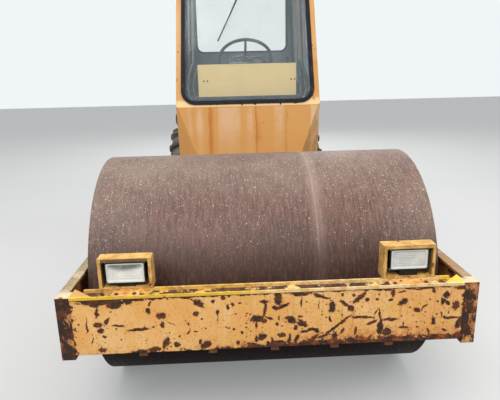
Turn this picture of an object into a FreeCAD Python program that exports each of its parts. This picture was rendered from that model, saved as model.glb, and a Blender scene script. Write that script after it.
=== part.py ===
"""Single-drum road roller of the seven-tonne class with an articulated frame.

Millimetres. The origin is on the ground, midway along the machine and on its middle plane.
The front faces -Y, +Z is up, and +X lies to the right of someone who looks at the machine's front.
"""

import FreeCAD, Part
import math
import os

from FreeCAD import Rotation, Vector

# Driving dimensions of the whole machine
drum_diameter = 1220.0
drum_width = 1680.0
tyre_diameter = 1150.0
front_reach = 256.0
frame_side_gap = 58.0
cab_drum_gap = 440.0
cab_depth = 1350.0
cab_past_axle = 50.0
rear_overhang = 1534.0

# Main places that follow from them
drum_radius = drum_diameter / 2
tyre_radius = tyre_diameter / 2
front_overhang = drum_radius + front_reach
wheelbase = drum_radius + cab_drum_gap + cab_depth - cab_past_axle
overall_length = front_overhang + wheelbase + rear_overhang
front_face_y = -overall_length / 2
rear_face_y = overall_length / 2
drum_y = front_face_y + front_overhang
drum_z = drum_radius
axle_y = drum_y + wheelbase
axle_z = tyre_radius
steer_y = (drum_y + axle_y) / 2
cab_front_y = drum_y + drum_radius + cab_drum_gap
cab_rear_y = cab_front_y + cab_depth
frame_width = drum_width + 2 * frame_side_gap
frame_half = frame_width / 2

# Fits, gaps and cutters
pin_clearance = 0.05
seat_gap = 0.3
panel_gap = 6.0
cut_past = 30.0
far_off = 5000.0

# Drum
drum_wall = 22.0
drum_end_recess = 190.0
drum_end_thickness = 25.0
drum_hub_radius = 115.0
drum_hub_reach = 40.0
stub_radius = 60.0

# Drum frame, with heights from the drum's axis
frame_top_z = drum_z + 166.0
side_bottom_z = drum_z - 120.0
hanger_bottom_z = drum_z - 238.0
frame_plate = 12.0
side_web = 16.0
side_flange = 45.0
post_width = 58.0
post_depth = 62.0
post_wall = 8.0
post_bottom_z = side_bottom_z - 2.0
post_top_z = frame_top_z
beam_half = frame_half - post_width
beam_bottom_z = side_bottom_z + 18.0
beam_depth = 76.0
beam_plate = 10.0
beam_lip = 8.0
beam_lip_rise = 10.0
beam_lip_height = 13.0
beam_lip_proud = 3.0
beam_return = 16.0
ridge_rise = 4.0
gusset_across = 92.0
gusset_along = 82.0
ridge_end = 44.0
hanger_half_top = 270.0
hanger_half_bottom = 150.0
tie_hole_radius = 25.0
tie_hole_spread = 105.0
tie_hole_rise = 48.0
motor_hole_radius = 120.0
crossbeam_gap = 125.0
crossbeam_depth = 120.0
crossbeam_front_y = drum_y + drum_radius + crossbeam_gap
crossbeam_rear_y = crossbeam_front_y + crossbeam_depth
bearing_outer_radius = 125.0
bearing_front_y = crossbeam_front_y - 35.0
bearing_rear_y = crossbeam_rear_y + 50.0
oscillation_z = drum_z - 10.0

# Drum carriers, buffers and motors
carrier_radius = 215.0
carrier_plate = 20.0
buffer_count = 8
buffer_circle = 165.0
buffer_radius = 36.0
buffer_length = 60.0
motor_radius = 85.0
motor_cap_radius = 52.0
motor_cap_seat = 6.0
motor_cap_inset = 4.0
stub_gap = 20.0

# Scrapers
scraper_angle = 12.0
scraper_gap = 8.0
scraper_blade = 8.0
scraper_reach = 70.0
scraper_inset = 50.0
scraper_tab_width = 34.0
scraper_tab_inset = 8.0
scraper_bracket = 20.0
scraper_lap = 30.0
scraper_seat = 48.0
scraper_tabs_front = (-554.0, -253.0, 18.0, 281.0, 521.0)
scraper_tabs_rear = (-540.0, -270.0, 270.0, 540.0)

# Lamp guards and headlamps
guard_inset = 226.0
guard_width = 230.0
guard_depth = 70.0
guard_plate = 16.0
guard_floor = 8.0
guard_front = 64.0
guard_heights = {"left": 137.0, "right": 149.0}
lamp_width = 171.0
lamp_height = 97.0
lamp_rises = {"left": 14.5, "right": 27.0}
lamp_foot_half = 40.0
lamp_setback = 4.0
lamp_depth = 46.0
lamp_corner = 12.0
lamp_wall = 5.0
lamp_back = 10.0
lens_depth = 14.0
lens_gap = 1.0

# Hitch between the two frames
hitch_shaft_radius = 75.0
hitch_flange_radius = 110.0
hitch_flange = 20.0
hitch_nut = 15.0
hitch_barrel_radius = 72.0
hitch_half_height = 130.0
hitch_web_half = 50.0
hitch_web_inset = 20.0
steer_pin_radius = 35.0
thrust_gap = 5.0

# Steering cylinders, measured from the steering pin
rod_pin_x = 158.0
rod_pin_forward = 123.0
barrel_pin_x = 218.0
barrel_pin_back = 307.0
cylinder_radius = 38.0
cylinder_length = 278.0
rod_radius = 20.0
rod_tail = 176.0
eye_radius = 32.0
eye_height = 44.0
eye_pin_radius = 16.0
ear_plate = 18.0
ear_radius = 42.0
ear_gap = 1.0
arm_sweep = 75.0
pin_head = 10.0
pin_head_lap = 8.0
barrel_neck = 64.0
barrel_end = 12.0
gland_length = 30.0
gland_lap = 5.0

# Chassis behind the joint
nose_half = 95.0
nose_setback = 80.0
nose_below = 150.0
nose_above = 200.0
nose_ear = 30.0
nose_ear_gap = 5.0
bulkhead_ahead = 710.0
bulkhead_plate = 20.0
bulkhead_below = 130.0
bulkhead_y = axle_y - bulkhead_ahead
rail_x = 340.0
rail_plate = 20.0
rail_height = 180.0
rail_over_axle = 125.0
rail_bottom_z = axle_z + rail_over_axle
rail_top_z = rail_bottom_z + rail_height
rail_drop_z = oscillation_z - bulkhead_below
rail_drop_length = 120.0
rail_slope_length = 210.0

# Counterweight, with heights from the rails
counterweight_depth = 134.0
counterweight_half = 700.0
counterweight_bottom_z = rail_bottom_z - 220.0
counterweight_top_z = rail_top_z + 25.0
counterweight_corner = 70.0
counterweight_chamfer = 60.0
counterweight_y = rear_face_y - counterweight_depth
tow_slot_half = 75.0
tow_slot_rise = 90.0
tow_slot_height = 70.0
tow_slot_depth = 115.0
tow_bore_radius = 20.0
tow_bore_past = 60.0
tow_bore_back = 60.0
tail_lamp_inset = 150.0
tail_lamp_drop = 90.0
tail_lamp_width = 140.0
tail_lamp_height = 70.0
tail_lamp_depth = 22.0
tail_lamp_gap = 4.0
tail_lamp_sunk = 2.0

# Rear axle
axle_tube_radius = 92.0
axle_centre_radius = 165.0
axle_centre_flat = 60.0
axle_centre_half = 160.0
axle_cover_radius = 118.0
axle_cover_proud = 9.0
axle_hub_radius = 128.0
axle_hub_length = 110.0
axle_hub_taper = 26.0
axle_pad_half = 45.0
axle_pad_length = 220.0
axle_pad_lap = 62.0

# Tyres, with a profile given from the rim, the tread's base and the side
tyre_width = 300.0
tyre_outer_half = 755.0
tyre_mid_x = tyre_outer_half - tyre_width / 2
tyre_bead = 6.0
tyre_bead_inset = 14.0
tyre_bead_rise = 45.0
tyre_bulge_rise = 120.0
tyre_flank_inset = 10.0
tyre_flank_drop = 55.0
tyre_crown_inset = 40.0
tyre_crown_drop = 8.0
tyre_sides_per_pitch = 3
tyre_lug_pairs = 17
tyre_lug_height = 32.0
tyre_lug_root = 14.0
tyre_lug_width = 40.0
tyre_lug_spread = 6.0
tyre_lug_sweep = 28.0
tyre_lug_lap = 12.0
tyre_shoulder_inset = 36.0
tyre_shoulder_drop = 22.0
tyre_side_inset = 4.0
tyre_side_drop = 34.0

# Rims
rim_radius = 310.0
rim_width = 250.0
rim_wall = 12.0
rim_disc = 16.0
rim_disc_offset = 60.0
rim_disc_flat = 165.0
rim_dish = 38.0
rim_hub_radius = 82.0
rim_hub_reach = 70.0
rim_weld = 2.0
rim_hole_radius = 24.0
rim_hole_circle = 228.0
rim_hole_count = 8

# Cab, with heights from the rails and the tyres
cab_half = 561.0
cab_wall = 40.0
cab_mount_height = 50.0
cab_lower_height = 510.0
cab_upper_height = 1250.0
cab_bottom_z = rail_top_z + cab_mount_height
cab_belt_z = cab_bottom_z + cab_lower_height
cab_top_z = cab_belt_z + cab_upper_height
arch_gap = 40.0
cab_arch_z = tyre_diameter + arch_gap
cab_arch_ahead = math.sqrt((tyre_radius + arch_gap) ** 2 - (cab_bottom_z - axle_z) ** 2)
cab_arch_y = axle_y - cab_arch_ahead
cab_side_lean = 2.7
cab_front_lean = 8.0
cab_floor_plate = 8.0
crease_top_inset = 21.0
crease_top_drop = 30.0
crease_low_inset = 141.0
crease_low_rise = 135.0
corner_sweep = 80.0
front_return = 120.0
roof_thickness = 60.0
roof_overhang = 45.0
roof_front_overhang = 72.0
roof_corner = 90.0
roof_edge_round = 26.0
mount_radius = 28.0
mount_pad_radius = 42.0
mount_pad_height = 34.0
mount_nose_gap = 320.0
mount_rail_gap = 140.0
mount_rear_gap = 70.0

# Windows
screen_side_frame = 50.0
screen_bottom_frame = 26.0
screen_top_frame = 90.0
screen_corner = 95.0
screen_height = cab_upper_height / math.cos(math.radians(cab_front_lean))
side_window_corner = 60.0
rear_window_side = 94.0
rear_window_rise = 460.0
rear_window_drop = 130.0
rear_window_corner = 80.0
quarter_front_gap = 100.0
quarter_rear_gap = 90.0
quarter_rise = 120.0
quarter_drop = 170.0
glass_thickness = 6.0
seal_width = 30.0
seal_lap = 13.0
seal_proud = 8.0

# Wiper, measured from the windscreen's middle and down from its top
wiper_pivot = (130.0, 52.0)
wiper_foot = (-125.0, 590.0)
wiper_tip = (-220.0, 776.0)
wiper_root = (-67.0, 476.0)
wiper_hub_radius = 14.0
wiper_arm_radius = 4.0
wiper_blade_radius = 5.0
wiper_lift = 26.0
wiper_blade_gap = 14.0

# Doors
door_rear_gap = 600.0
door_low_rise = 70.0
door_high_drop = 60.0
door_frame = 62.0
door_window_rise = 70.0
door_rear_y = cab_rear_y - door_rear_gap
hinge_radius = 13.0
hinge_length = 28.0
hinge_offset = 14.0
hinge_leaf = 44.0
hinge_rises = (130.0, 400.0)
handle_length = 150.0
handle_bar = 14.0
handle_stand_off = 22.0
handle_setback = 180.0
handle_drop = 100.0

# Board and dashboard inside the cab
board_width = 771.0
board_height = 245.0
board_thickness = 12.0
board_rise = 70.0
board_setback = 36.0
board_low_z = cab_belt_z + board_rise
shelf_half = 450.0
shelf_depth = 250.0
shelf_thickness = 20.0
pedestal_half = 120.0
pedestal_setback = 90.0

# Steering wheel
steering_radius = 235.0
steering_rim_radius = 13.0
steering_rim_sides = 8
steering_tilt = 42.0
steering_setback = 450.0
steering_rise = 290.0
steering_hub_radius = 34.0
steering_hub_back = 36.0
steering_hub_front = 10.0
steering_spoke_radius = 9.0
steering_spokes = (90.0, 210.0, 330.0)
steering_column_radius = 36.0

# Seat and console, from the cab's rear wall and the seat platform
seat_width = 480.0
seat_depth = 385.0
seat_rear_gap = 160.0
seat_corner = 40.0
seat_pedestal_half = 190.0
seat_pedestal_depth = 340.0
seat_pedestal_height = 150.0
seat_pan_height = 105.0
seat_pan_inset = 20.0
cushion_thickness = 110.0
back_height = 290.0
back_thickness = 95.0
back_taper = 30.0
back_corner = 70.0
console_width = 170.0
console_height = 430.0
console_length = 400.0
console_wall_gap = 20.0
console_rear_gap = 100.0
lever_radius = 9.0
lever_rise = 190.0
lever_lean = 50.0
lever_setback = 80.0
knob_radius = 24.0
knob_height = 50.0

# Hood and its hinge, with heights from the rails
hood_half = 440.0
hood_cab_gap = 50.0
hood_rear_gap = 30.0
hood_low_z = rail_top_z + 35.0
hood_height = 685.0
hood_wall = 22.0
hood_corner = 110.0
hood_front_y = cab_rear_y + hood_cab_gap
hood_rear_y = counterweight_y - hood_rear_gap
hood_top_z = hood_low_z + hood_height
hood_rest_places = (130.0, 850.0)
hood_rest_half = 30.0
hood_rest_lap = 20.0
hood_axis_gap = 15.0
hood_axis_rise = 20.0
hood_axis_z = counterweight_top_z + hood_axis_rise
hood_knuckle = 11.0
hood_ear_x = 240.0
hood_ear_width = 38.0
hood_ear_lap = 30.0
louvre_count = 7
louvre_front_gap = 170.0
louvre_length = 500.0
louvre_height = 26.0
louvre_pitch = 66.0
louvre_rise = 150.0
grille_margin = 90.0
grille_count = 11
grille_bar = 16.0
grille_bar_depth = 14.0
grille_post_depth = 10.0
stack_radius = 38.0
stack_wall = 5.0
stack_height = 200.0
stack_slant = 40.0
stack_x = 260.0
stack_front_gap = 190.0

# Engine, radiator and side tanks
engine_half = 270.0
engine_front_gap = 270.0
engine_length = 610.0
engine_height = 670.0
engine_foot_inset = 80.0
engine_foot_length = 70.0
engine_foot_rise = 60.0
engine_foot_height = 40.0
radiator_rear_gap = 130.0
radiator_depth = 110.0
radiator_top_gap = 120.0
tank_side_gap = 10.0
tank_width = 290.0
tank_length = 690.0
tank_rear_gap = 20.0
tank_height = 440.0
tank_below_rail = 60.0
tank_corner = 60.0
tank_cap_radius = 38.0
tank_cap_height = 34.0
tank_cap_inset = 110.0
tank_cap_setback = 130.0
tank_foot_inset = 80.0
tank_foot_rise = 100.0
tank_foot_height = 60.0

# Steps
step_side_gap = 24.0
step_width = 205.0
step_length = 265.0
step_tyre_gap = 60.0
step_drops = (480.0, 240.0)
step_plate = 12.0
step_foot = 20.0
step_top_drop = 20.0
step_arm_height = 60.0
step_arm_length = 70.0


def box(x0, x1, y0, y1, z0, z1):
    return Part.makeBox(x1 - x0, y1 - y0, z1 - z0, Vector(x0, y0, z0))


def rod_x(radius, x0, x1, y, z):
    return Part.makeCylinder(radius, x1 - x0, Vector(x0, y, z), Vector(1, 0, 0))


def rod_y(radius, y0, y1, x, z):
    return Part.makeCylinder(radius, y1 - y0, Vector(x, y0, z), Vector(0, 1, 0))


def rod_z(radius, z0, z1, x, y):
    return Part.makeCylinder(radius, z1 - z0, Vector(x, y, z0), Vector(0, 0, 1))


def between(radius, start, end):
    """A round bar from one point to another."""
    return Part.makeCylinder(radius, (end - start).Length, start, end - start)


def fuse(shapes):
    joined = shapes[0]
    for shape in shapes[1:]:
        joined = joined.fuse(shape)
    return joined.removeSplitter()


def mirror_x(shape):
    return shape.mirror(Vector(0, 0, 0), Vector(1, 0, 0))


def both_sides(shape):
    """The shape on the +X side with its mirror image, as solids that don't touch."""
    return Part.makeCompound([shape, mirror_x(shape)])


def face_of(points):
    return Part.Face(Part.makePolygon(points + [points[0]]))


def profile_x(points, x0, x1):
    """A (y, z) outline drawn out along X."""
    return face_of([Vector(x0, y, z) for y, z in points]).extrude(Vector(x1 - x0, 0, 0))


def profile_z(points, z0, z1):
    """An (x, y) outline drawn out along Z."""
    return face_of([Vector(x, y, z0) for x, y in points]).extrude(Vector(0, 0, z1 - z0))


def turned(profile, base, way):
    """A turned solid from (height, radius) pairs, its foot at base and its axis along way."""
    corners = [Vector(radius, 0, height) for height, radius in profile]
    corners.insert(0, Vector(0, 0, profile[0][0]))
    corners.append(Vector(0, 0, profile[-1][0]))
    solid = face_of(corners).revolve(Vector(0, 0, 0), Vector(0, 0, 1), 360)
    solid.Placement = FreeCAD.Placement(base, Rotation(Vector(0, 0, 1), way))
    return solid


def rounded_wire(corners, radius, place):
    """A closed outline with round corners; place maps each (a, b) to a point in space."""
    edges = []
    starts, ends = [], []
    count = len(corners)
    for i in range(count):
        before = Vector(*corners[i - 1], 0)
        here = Vector(*corners[i], 0)
        after = Vector(*corners[(i + 1) % count], 0)
        to_before = (before - here).normalize()
        to_after = (after - here).normalize()
        half = to_before.getAngle(to_after) / 2
        reach = radius / math.tan(half)
        middle = here + (to_before + to_after).normalize() * (radius / math.sin(half) - radius)
        starts.append(here + to_before * reach)
        ends.append(here + to_after * reach)
        arc = [place(p.x, p.y) for p in (starts[-1], middle, ends[-1])]
        edges.append(Part.Arc(*arc).toShape())
    for i in range(count):
        first = ends[i - 1]
        last = starts[i]
        edges.append(Part.LineSegment(place(first.x, first.y), place(last.x, last.y)).toShape())
    return Part.Wire(Part.__sortEdges__(edges))


def rounded_prism(corners, radius, place, direction):
    return Part.Face(rounded_wire(corners, radius, place)).extrude(direction)


def rounded_box(x0, x1, y0, y1, z0, z1, radius, axis="z"):
    """A box whose four edges along one axis are rounded."""
    block = box(x0, x1, y0, y1, z0, z1)
    wanted = {"x": Vector(1, 0, 0), "y": Vector(0, 1, 0), "z": Vector(0, 0, 1)}[axis]
    edges = [e for e in block.Edges if abs(e.tangentAt(e.FirstParameter).dot(wanted)) > 0.9]
    return block.makeFillet(radius, edges)


def save(name, shape):
    for solid in shape.Solids:
        if not solid.isValid():
            raise ValueError(f"{name} is not valid")
    shape.exportStep(f"parts/{name}.step")


def make_front_beam():
    """Pressed beam ahead of the drum: face, proud lip, groove, rear ridge and corner gussets."""
    top = frame_top_z
    groove = top - beam_lip_rise
    ridge_front = beam_depth - frame_plate
    under = groove - beam_plate
    flange_end = beam_depth - beam_return
    lip_low = top - beam_lip_height
    outline = [
        (beam_lip_proud, beam_bottom_z), (beam_lip_proud, lip_low), (0, lip_low), (0, top),
        (beam_lip, top), (beam_lip, groove), (ridge_front, groove),
        (ridge_front, top + ridge_rise), (beam_depth, top + ridge_rise), (beam_depth, under - beam_return),
        (beam_depth - beam_plate, under - beam_return), (beam_depth - beam_plate, under), (beam_plate, under),
        (beam_plate, beam_bottom_z + beam_plate), (flange_end, beam_bottom_z + beam_plate),
        (flange_end, beam_bottom_z),
    ]
    beam = profile_x([(front_face_y + y, z) for y, z in outline], -beam_half, beam_half)
    ridge_y = front_face_y + ridge_front
    cutaway = box(beam_half - ridge_end, far_off, ridge_y - beam_lip, far_off, groove, far_off)
    lip_y = front_face_y + beam_lip
    gusset = profile_z(
        [(beam_half, lip_y), (beam_half, lip_y + gusset_along), (beam_half - gusset_across, lip_y)],
        groove, top,
    )
    for side in (cutaway, mirror_x(cutaway)):
        beam = beam.cut(side)
    save("front_beam", fuse([beam, gusset, mirror_x(gusset)]))


def make_corner_posts():
    """Square posts at the beam's ends, open below."""
    x0 = beam_half
    x1 = frame_half
    y0 = front_face_y
    post = box(x0, x1, y0, y0 + post_depth, post_bottom_z, post_top_z)
    hollow = box(
        x0 + post_wall, x1 - post_wall, y0 + post_wall, y0 + post_depth - post_wall,
        post_bottom_z, post_top_z - post_wall,
    )
    save("corner_posts", both_sides(post.cut(hollow)))


def make_side_beams():
    """Channel beside each end of the drum, with a hanger plate below the drum's axis."""
    x1 = frame_half
    y0 = front_face_y + post_depth
    y1 = crossbeam_front_y
    web_x = x1 - side_web
    inner = x1 - side_flange
    flange_z = side_bottom_z + frame_plate
    web = box(web_x, x1, y0, y1, side_bottom_z, frame_top_z)
    top = box(inner, x1, y0, y1, frame_top_z - frame_plate, frame_top_z)
    bottom = box(inner, x1, y0, y1, side_bottom_z, flange_z)
    hanger = profile_x(
        [
            (drum_y - hanger_half_top, flange_z), (drum_y - hanger_half_bottom, hanger_bottom_z),
            (drum_y + hanger_half_bottom, hanger_bottom_z), (drum_y + hanger_half_top, flange_z),
        ],
        web_x, x1,
    )
    passage = box(
        inner - cut_past, web_x, drum_y - carrier_radius, drum_y + carrier_radius,
        side_bottom_z - cut_past, flange_z + cut_past,
    )
    beam = fuse([web, top, bottom.cut(passage), hanger])
    beam = beam.cut(rod_x(motor_hole_radius, web_x - cut_past, x1 + cut_past, drum_y, drum_z))
    for way in (-1, 1):
        hole_y = drum_y + way * tie_hole_spread
        hole_z = hanger_bottom_z + tie_hole_rise
        beam = beam.cut(rod_x(tie_hole_radius, web_x - cut_past, x1 + cut_past, hole_y, hole_z))
    save("side_beams", both_sides(beam))


def make_crossbeam():
    """Box beam behind the drum with the housing of the oscillation bearing."""
    beam = box(-frame_half, frame_half, crossbeam_front_y, crossbeam_rear_y, side_bottom_z, frame_top_z)
    housing = rod_y(bearing_outer_radius, bearing_front_y, bearing_rear_y, 0, oscillation_z)
    bore_radius = hitch_shaft_radius + pin_clearance
    bore = rod_y(bore_radius, bearing_front_y - cut_past, bearing_rear_y + cut_past, 0, oscillation_z)
    save("drum_crossbeam", fuse([beam, housing]).cut(bore))


def make_drum():
    """Smooth drum: a tube with two recessed end plates that carry hub sleeves."""
    half = drum_width / 2
    inner = drum_radius - drum_wall
    shell = rod_x(drum_radius, -half, half, drum_y, drum_z)
    save("drum_shell", shell.cut(rod_x(inner, -half - cut_past, half + cut_past, drum_y, drum_z)))
    outer_x = half - drum_end_recess
    inner_x = outer_x - drum_end_thickness
    end = rod_x(inner, inner_x, outer_x, drum_y, drum_z)
    hub = rod_x(drum_hub_radius, inner_x, outer_x + drum_hub_reach, drum_y, drum_z)
    bore_end = outer_x + drum_hub_reach + cut_past
    bore = rod_x(stub_radius + pin_clearance, inner_x - cut_past, bore_end, drum_y, drum_z)
    save("drum_ends", both_sides(fuse([end, hub]).cut(bore)))


def make_drum_carriers():
    """Carrier plate, stub shaft, rubber buffers and motor inside each end of the drum."""
    web_x = frame_half - side_web
    plate_outer = web_x - buffer_length
    plate_inner = plate_outer - carrier_plate
    stub_end = drum_width / 2 - drum_end_recess - drum_end_thickness - stub_gap
    cap_seat = web_x - motor_cap_seat
    buffers = []
    for i in range(buffer_count):
        angle = 2 * math.pi * i / buffer_count
        y = drum_y + buffer_circle * math.cos(angle)
        z = drum_z + buffer_circle * math.sin(angle)
        if z + buffer_radius < frame_top_z - frame_plate:
            buffers.append(rod_x(buffer_radius, plate_outer, web_x, y, z))
    save("drum_buffers", Part.makeCompound(buffers + [mirror_x(buffer) for buffer in buffers]))
    carrier = fuse([
        rod_x(carrier_radius, plate_inner, plate_outer, drum_y, drum_z),
        rod_x(stub_radius, stub_end, plate_inner, drum_y, drum_z),
        rod_x(motor_radius, plate_outer, cap_seat, drum_y, drum_z),
        rod_x(motor_cap_radius, cap_seat, frame_half - motor_cap_inset, drum_y, drum_z),
    ])
    save("drum_carriers", both_sides(carrier))


def make_scrapers():
    """A scraper blade with its brackets ahead of the drum, and one behind it."""
    angle = math.radians(scraper_angle)
    tip = drum_radius + scraper_gap
    root = tip + scraper_reach
    half = drum_width / 2 - scraper_inset
    table = [
        # side, bracket's far end from the drum's axis, bracket's seat height, bracket places
        (-1, front_overhang - scraper_tab_inset, beam_bottom_z, scraper_tabs_front),
        (1, crossbeam_rear_y - crossbeam_depth / 2 - drum_y, side_bottom_z, scraper_tabs_rear),
    ]
    scrapers = []
    for side, far, seat_z, places in table:
        tip_y, root_y = (drum_y + side * r * math.cos(angle) for r in (tip, root))
        tip_z, root_z = (drum_z - r * math.sin(angle) for r in (tip, root))
        under = root_z - scraper_blade
        blade = profile_x(
            [(tip_y, tip_z), (root_y, root_z), (root_y, under), (tip_y, tip_z - scraper_blade)], -half, half,
        )
        near_y = root_y - side * scraper_lap
        far_y = drum_y + side * far
        bracket = [
            (near_y, under), (near_y, under - scraper_bracket), (root_y, under - scraper_bracket),
            (far_y, seat_z - scraper_bracket), (far_y, seat_z), (far_y - side * scraper_seat, seat_z),
            (root_y, root_z),
        ]
        parts = [blade]
        for x in places:
            parts.append(profile_x(bracket, x - scraper_tab_width / 2, x + scraper_tab_width / 2))
        scrapers.append(fuse(parts))
    save("scrapers", Part.makeCompound(scrapers))


def lamp_block(x, y0, y1, low, inset):
    """A block of the headlamp's outline, drawn in by an inset."""
    half = lamp_width / 2 - inset
    z0 = low + inset
    z1 = low + lamp_height - inset
    return rounded_box(x - half, x + half, y0, y1, z0, z1, lamp_corner - inset, "y")


def make_lamp_guards():
    """Open-fronted plate boxes on the front beam's ridge, one for each headlamp."""
    base = frame_top_z + ridge_rise
    y0 = front_face_y + guard_front
    y1 = y0 + guard_depth
    half = guard_width / 2
    guard_x = beam_half - guard_inset
    guards, shells, lenses = [], [], []
    for side, name in ((-1, "left"), (1, "right")):
        x = side * guard_x
        top = base + guard_heights[name]
        floor = base + guard_floor
        outer = box(x - half, x + half, y0, y1, base, top)
        inner = box(
            x - half + guard_plate, x + half - guard_plate, y0 - cut_past, y1 - guard_plate,
            floor, top - guard_plate,
        )
        guards.append(outer.cut(inner))
        low = floor + lamp_rises[name]
        lamp_y = y0 + lamp_setback
        foot = box(
            x - lamp_foot_half, x + lamp_foot_half, lamp_y + lamp_setback, lamp_y + lamp_depth,
            floor + seat_gap, low + lamp_wall,
        )
        shell = lamp_block(x, lamp_y, lamp_y + lamp_depth, low, 0).fuse(foot)
        pocket = lamp_block(x, lamp_y - cut_past, lamp_y + lamp_depth - lamp_back, low, lamp_wall)
        shells.append(shell.cut(pocket))
        lens_y = lamp_y + lamp_setback / 2
        lenses.append(lamp_block(x, lens_y, lens_y + lens_depth, low, lamp_wall + lens_gap))
    save("lamp_guards", Part.makeCompound(guards))
    save("headlamp_shells", Part.makeCompound(shells))
    save("headlamp_lenses", Part.makeCompound(lenses))


def make_hitch():
    """Block that turns on the steering pin and carries the oscillation shaft and cylinder ears."""
    nut_y = bearing_front_y - thrust_gap
    flange_y = bearing_rear_y + thrust_gap
    z0 = oscillation_z - hitch_half_height
    z1 = oscillation_z + hitch_half_height
    parts = [
        rod_y(hitch_shaft_radius, nut_y - hitch_nut, flange_y, 0, oscillation_z),
        rod_y(hitch_flange_radius, nut_y - hitch_nut, nut_y, 0, oscillation_z),
        rod_y(hitch_flange_radius, flange_y, flange_y + hitch_flange, 0, oscillation_z),
        box(
            -hitch_web_half, hitch_web_half, flange_y + hitch_flange, steer_y,
            z0 + hitch_web_inset, z1 - hitch_web_inset,
        ),
        rod_z(hitch_barrel_radius, z0, z1, 0, steer_y),
    ]
    reach = eye_height / 2 + ear_gap
    y = steer_y - rod_pin_forward
    for side in (-1, 1):
        x = side * rod_pin_x
        for low in (oscillation_z + reach, oscillation_z - reach - ear_plate):
            arm = profile_z(
                [
                    (0, y - ear_radius - arm_sweep), (x, y - ear_radius),
                    (x, y + ear_radius), (0, y + ear_radius - arm_sweep),
                ],
                low, low + ear_plate,
            )
            parts.append(arm.fuse(rod_z(ear_radius, low, low + ear_plate, x, y)))
        head_z = oscillation_z + reach + ear_plate
        parts.append(rod_z(eye_pin_radius + pin_head_lap, head_z, head_z + pin_head, x, y))
    bore = rod_z(steer_pin_radius + pin_clearance, z0 - cut_past, z1 + cut_past, 0, steer_y)
    save("hitch_block", fuse(parts).cut(bore))
    pin_low = z0 - nose_ear_gap - nose_ear
    pin_high = z1 + nose_ear_gap + nose_ear
    pin = fuse([
        rod_z(steer_pin_radius, pin_low, pin_high, 0, steer_y),
        rod_z(steer_pin_radius + pin_head_lap, pin_high, pin_high + pin_head, 0, steer_y),
    ])
    save("steering_pin", pin)


def cylinder_line(side):
    """Start, end and direction of one steering cylinder at rest."""
    start = Vector(side * barrel_pin_x, steer_y + barrel_pin_back, oscillation_z)
    end = Vector(side * rod_pin_x, steer_y - rod_pin_forward, oscillation_z)
    return start, end, (end - start).normalize()


def make_cylinders():
    """Steering cylinders: each barrel is pinned to the chassis and its rod's eye lies in the hitch's ears."""
    half_eye = Vector(0, 0, eye_height / 2)
    for side, name in ((-1, "left"), (1, "right")):
        start, end, way = cylinder_line(side)
        mouth = start + way * cylinder_length
        barrel = fuse([
            Part.makeCylinder(eye_radius, eye_height, start - half_eye),
            between(rod_radius, start, start + way * (barrel_neck + barrel_end / 2)),
            between(cylinder_radius, start + way * barrel_neck, mouth),
            between(cylinder_radius + gland_lap, mouth - way * gland_length, mouth),
        ])
        hole = Part.makeCylinder(eye_pin_radius + pin_clearance, eye_height, start - half_eye)
        bore = between(rod_radius + pin_clearance, start + way * (barrel_neck + barrel_end), mouth)
        save(f"cylinder_barrel_{name}", barrel.cut(bore).cut(hole))
        eye = Part.makeCylinder(eye_radius, eye_height, end - half_eye)
        save(f"cylinder_rod_{name}", fuse([eye, between(rod_radius, start + way * rod_tail, end)]))


def make_nose():
    """Deep beam that reaches forward under the cab to the steering pin, with the bulkhead behind it."""
    y0 = steer_y + nose_setback
    low = oscillation_z - hitch_half_height - nose_ear_gap - nose_ear
    high = oscillation_z + hitch_half_height + nose_ear_gap
    side_x = rail_x + rail_plate
    parts = [
        box(-nose_half, nose_half, y0, bulkhead_y, oscillation_z - nose_below, oscillation_z + nose_above),
        box(-side_x, side_x, bulkhead_y, bulkhead_y + bulkhead_plate, rail_drop_z, rail_top_z),
    ]
    for z in (low, high):
        strip = box(-nose_half, nose_half, steer_y, y0, z, z + nose_ear)
        parts.append(strip.fuse(rod_z(nose_half, z, z + nose_ear, 0, steer_y)))
    reach = eye_height / 2 + ear_gap
    y = steer_y + barrel_pin_back
    for side in (-1, 1):
        x = side * barrel_pin_x
        for z in (oscillation_z + reach, oscillation_z - reach - ear_plate):
            arm = box(min(0, x), max(0, x), y - ear_radius, y + ear_radius, z, z + ear_plate)
            parts.append(arm.fuse(rod_z(ear_radius, z, z + ear_plate, x, y)))
        parts.append(rod_z(eye_pin_radius, oscillation_z - reach, oscillation_z + reach, x, y))
        head_z = oscillation_z + reach + ear_plate
        parts.append(rod_z(eye_pin_radius + pin_head_lap, head_z, head_z + pin_head, x, y))
    bore = rod_z(steer_pin_radius, low - cut_past, high + nose_ear + cut_past, 0, steer_y)
    save("chassis_nose", fuse(parts).cut(bore))


def make_rails():
    """Two chassis side plates, deep behind the bulkhead and raised over the axle."""
    y0 = bulkhead_y + bulkhead_plate
    slope_y = y0 + rail_drop_length
    outline = [
        (y0, rail_drop_z), (slope_y, rail_drop_z), (slope_y + rail_slope_length, rail_bottom_z),
        (counterweight_y, rail_bottom_z), (counterweight_y, rail_top_z), (y0, rail_top_z),
    ]
    parts = [profile_x(outline, rail_x, rail_x + rail_plate)]
    for place in hood_rest_places:
        y = hood_front_y + place
        parts.append(box(
            rail_x, hood_half, y - hood_rest_half, y + hood_rest_half,
            rail_top_z - hood_rest_lap, hood_low_z - seat_gap,
        ))
    save("chassis_rails", both_sides(fuse(parts)))


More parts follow.
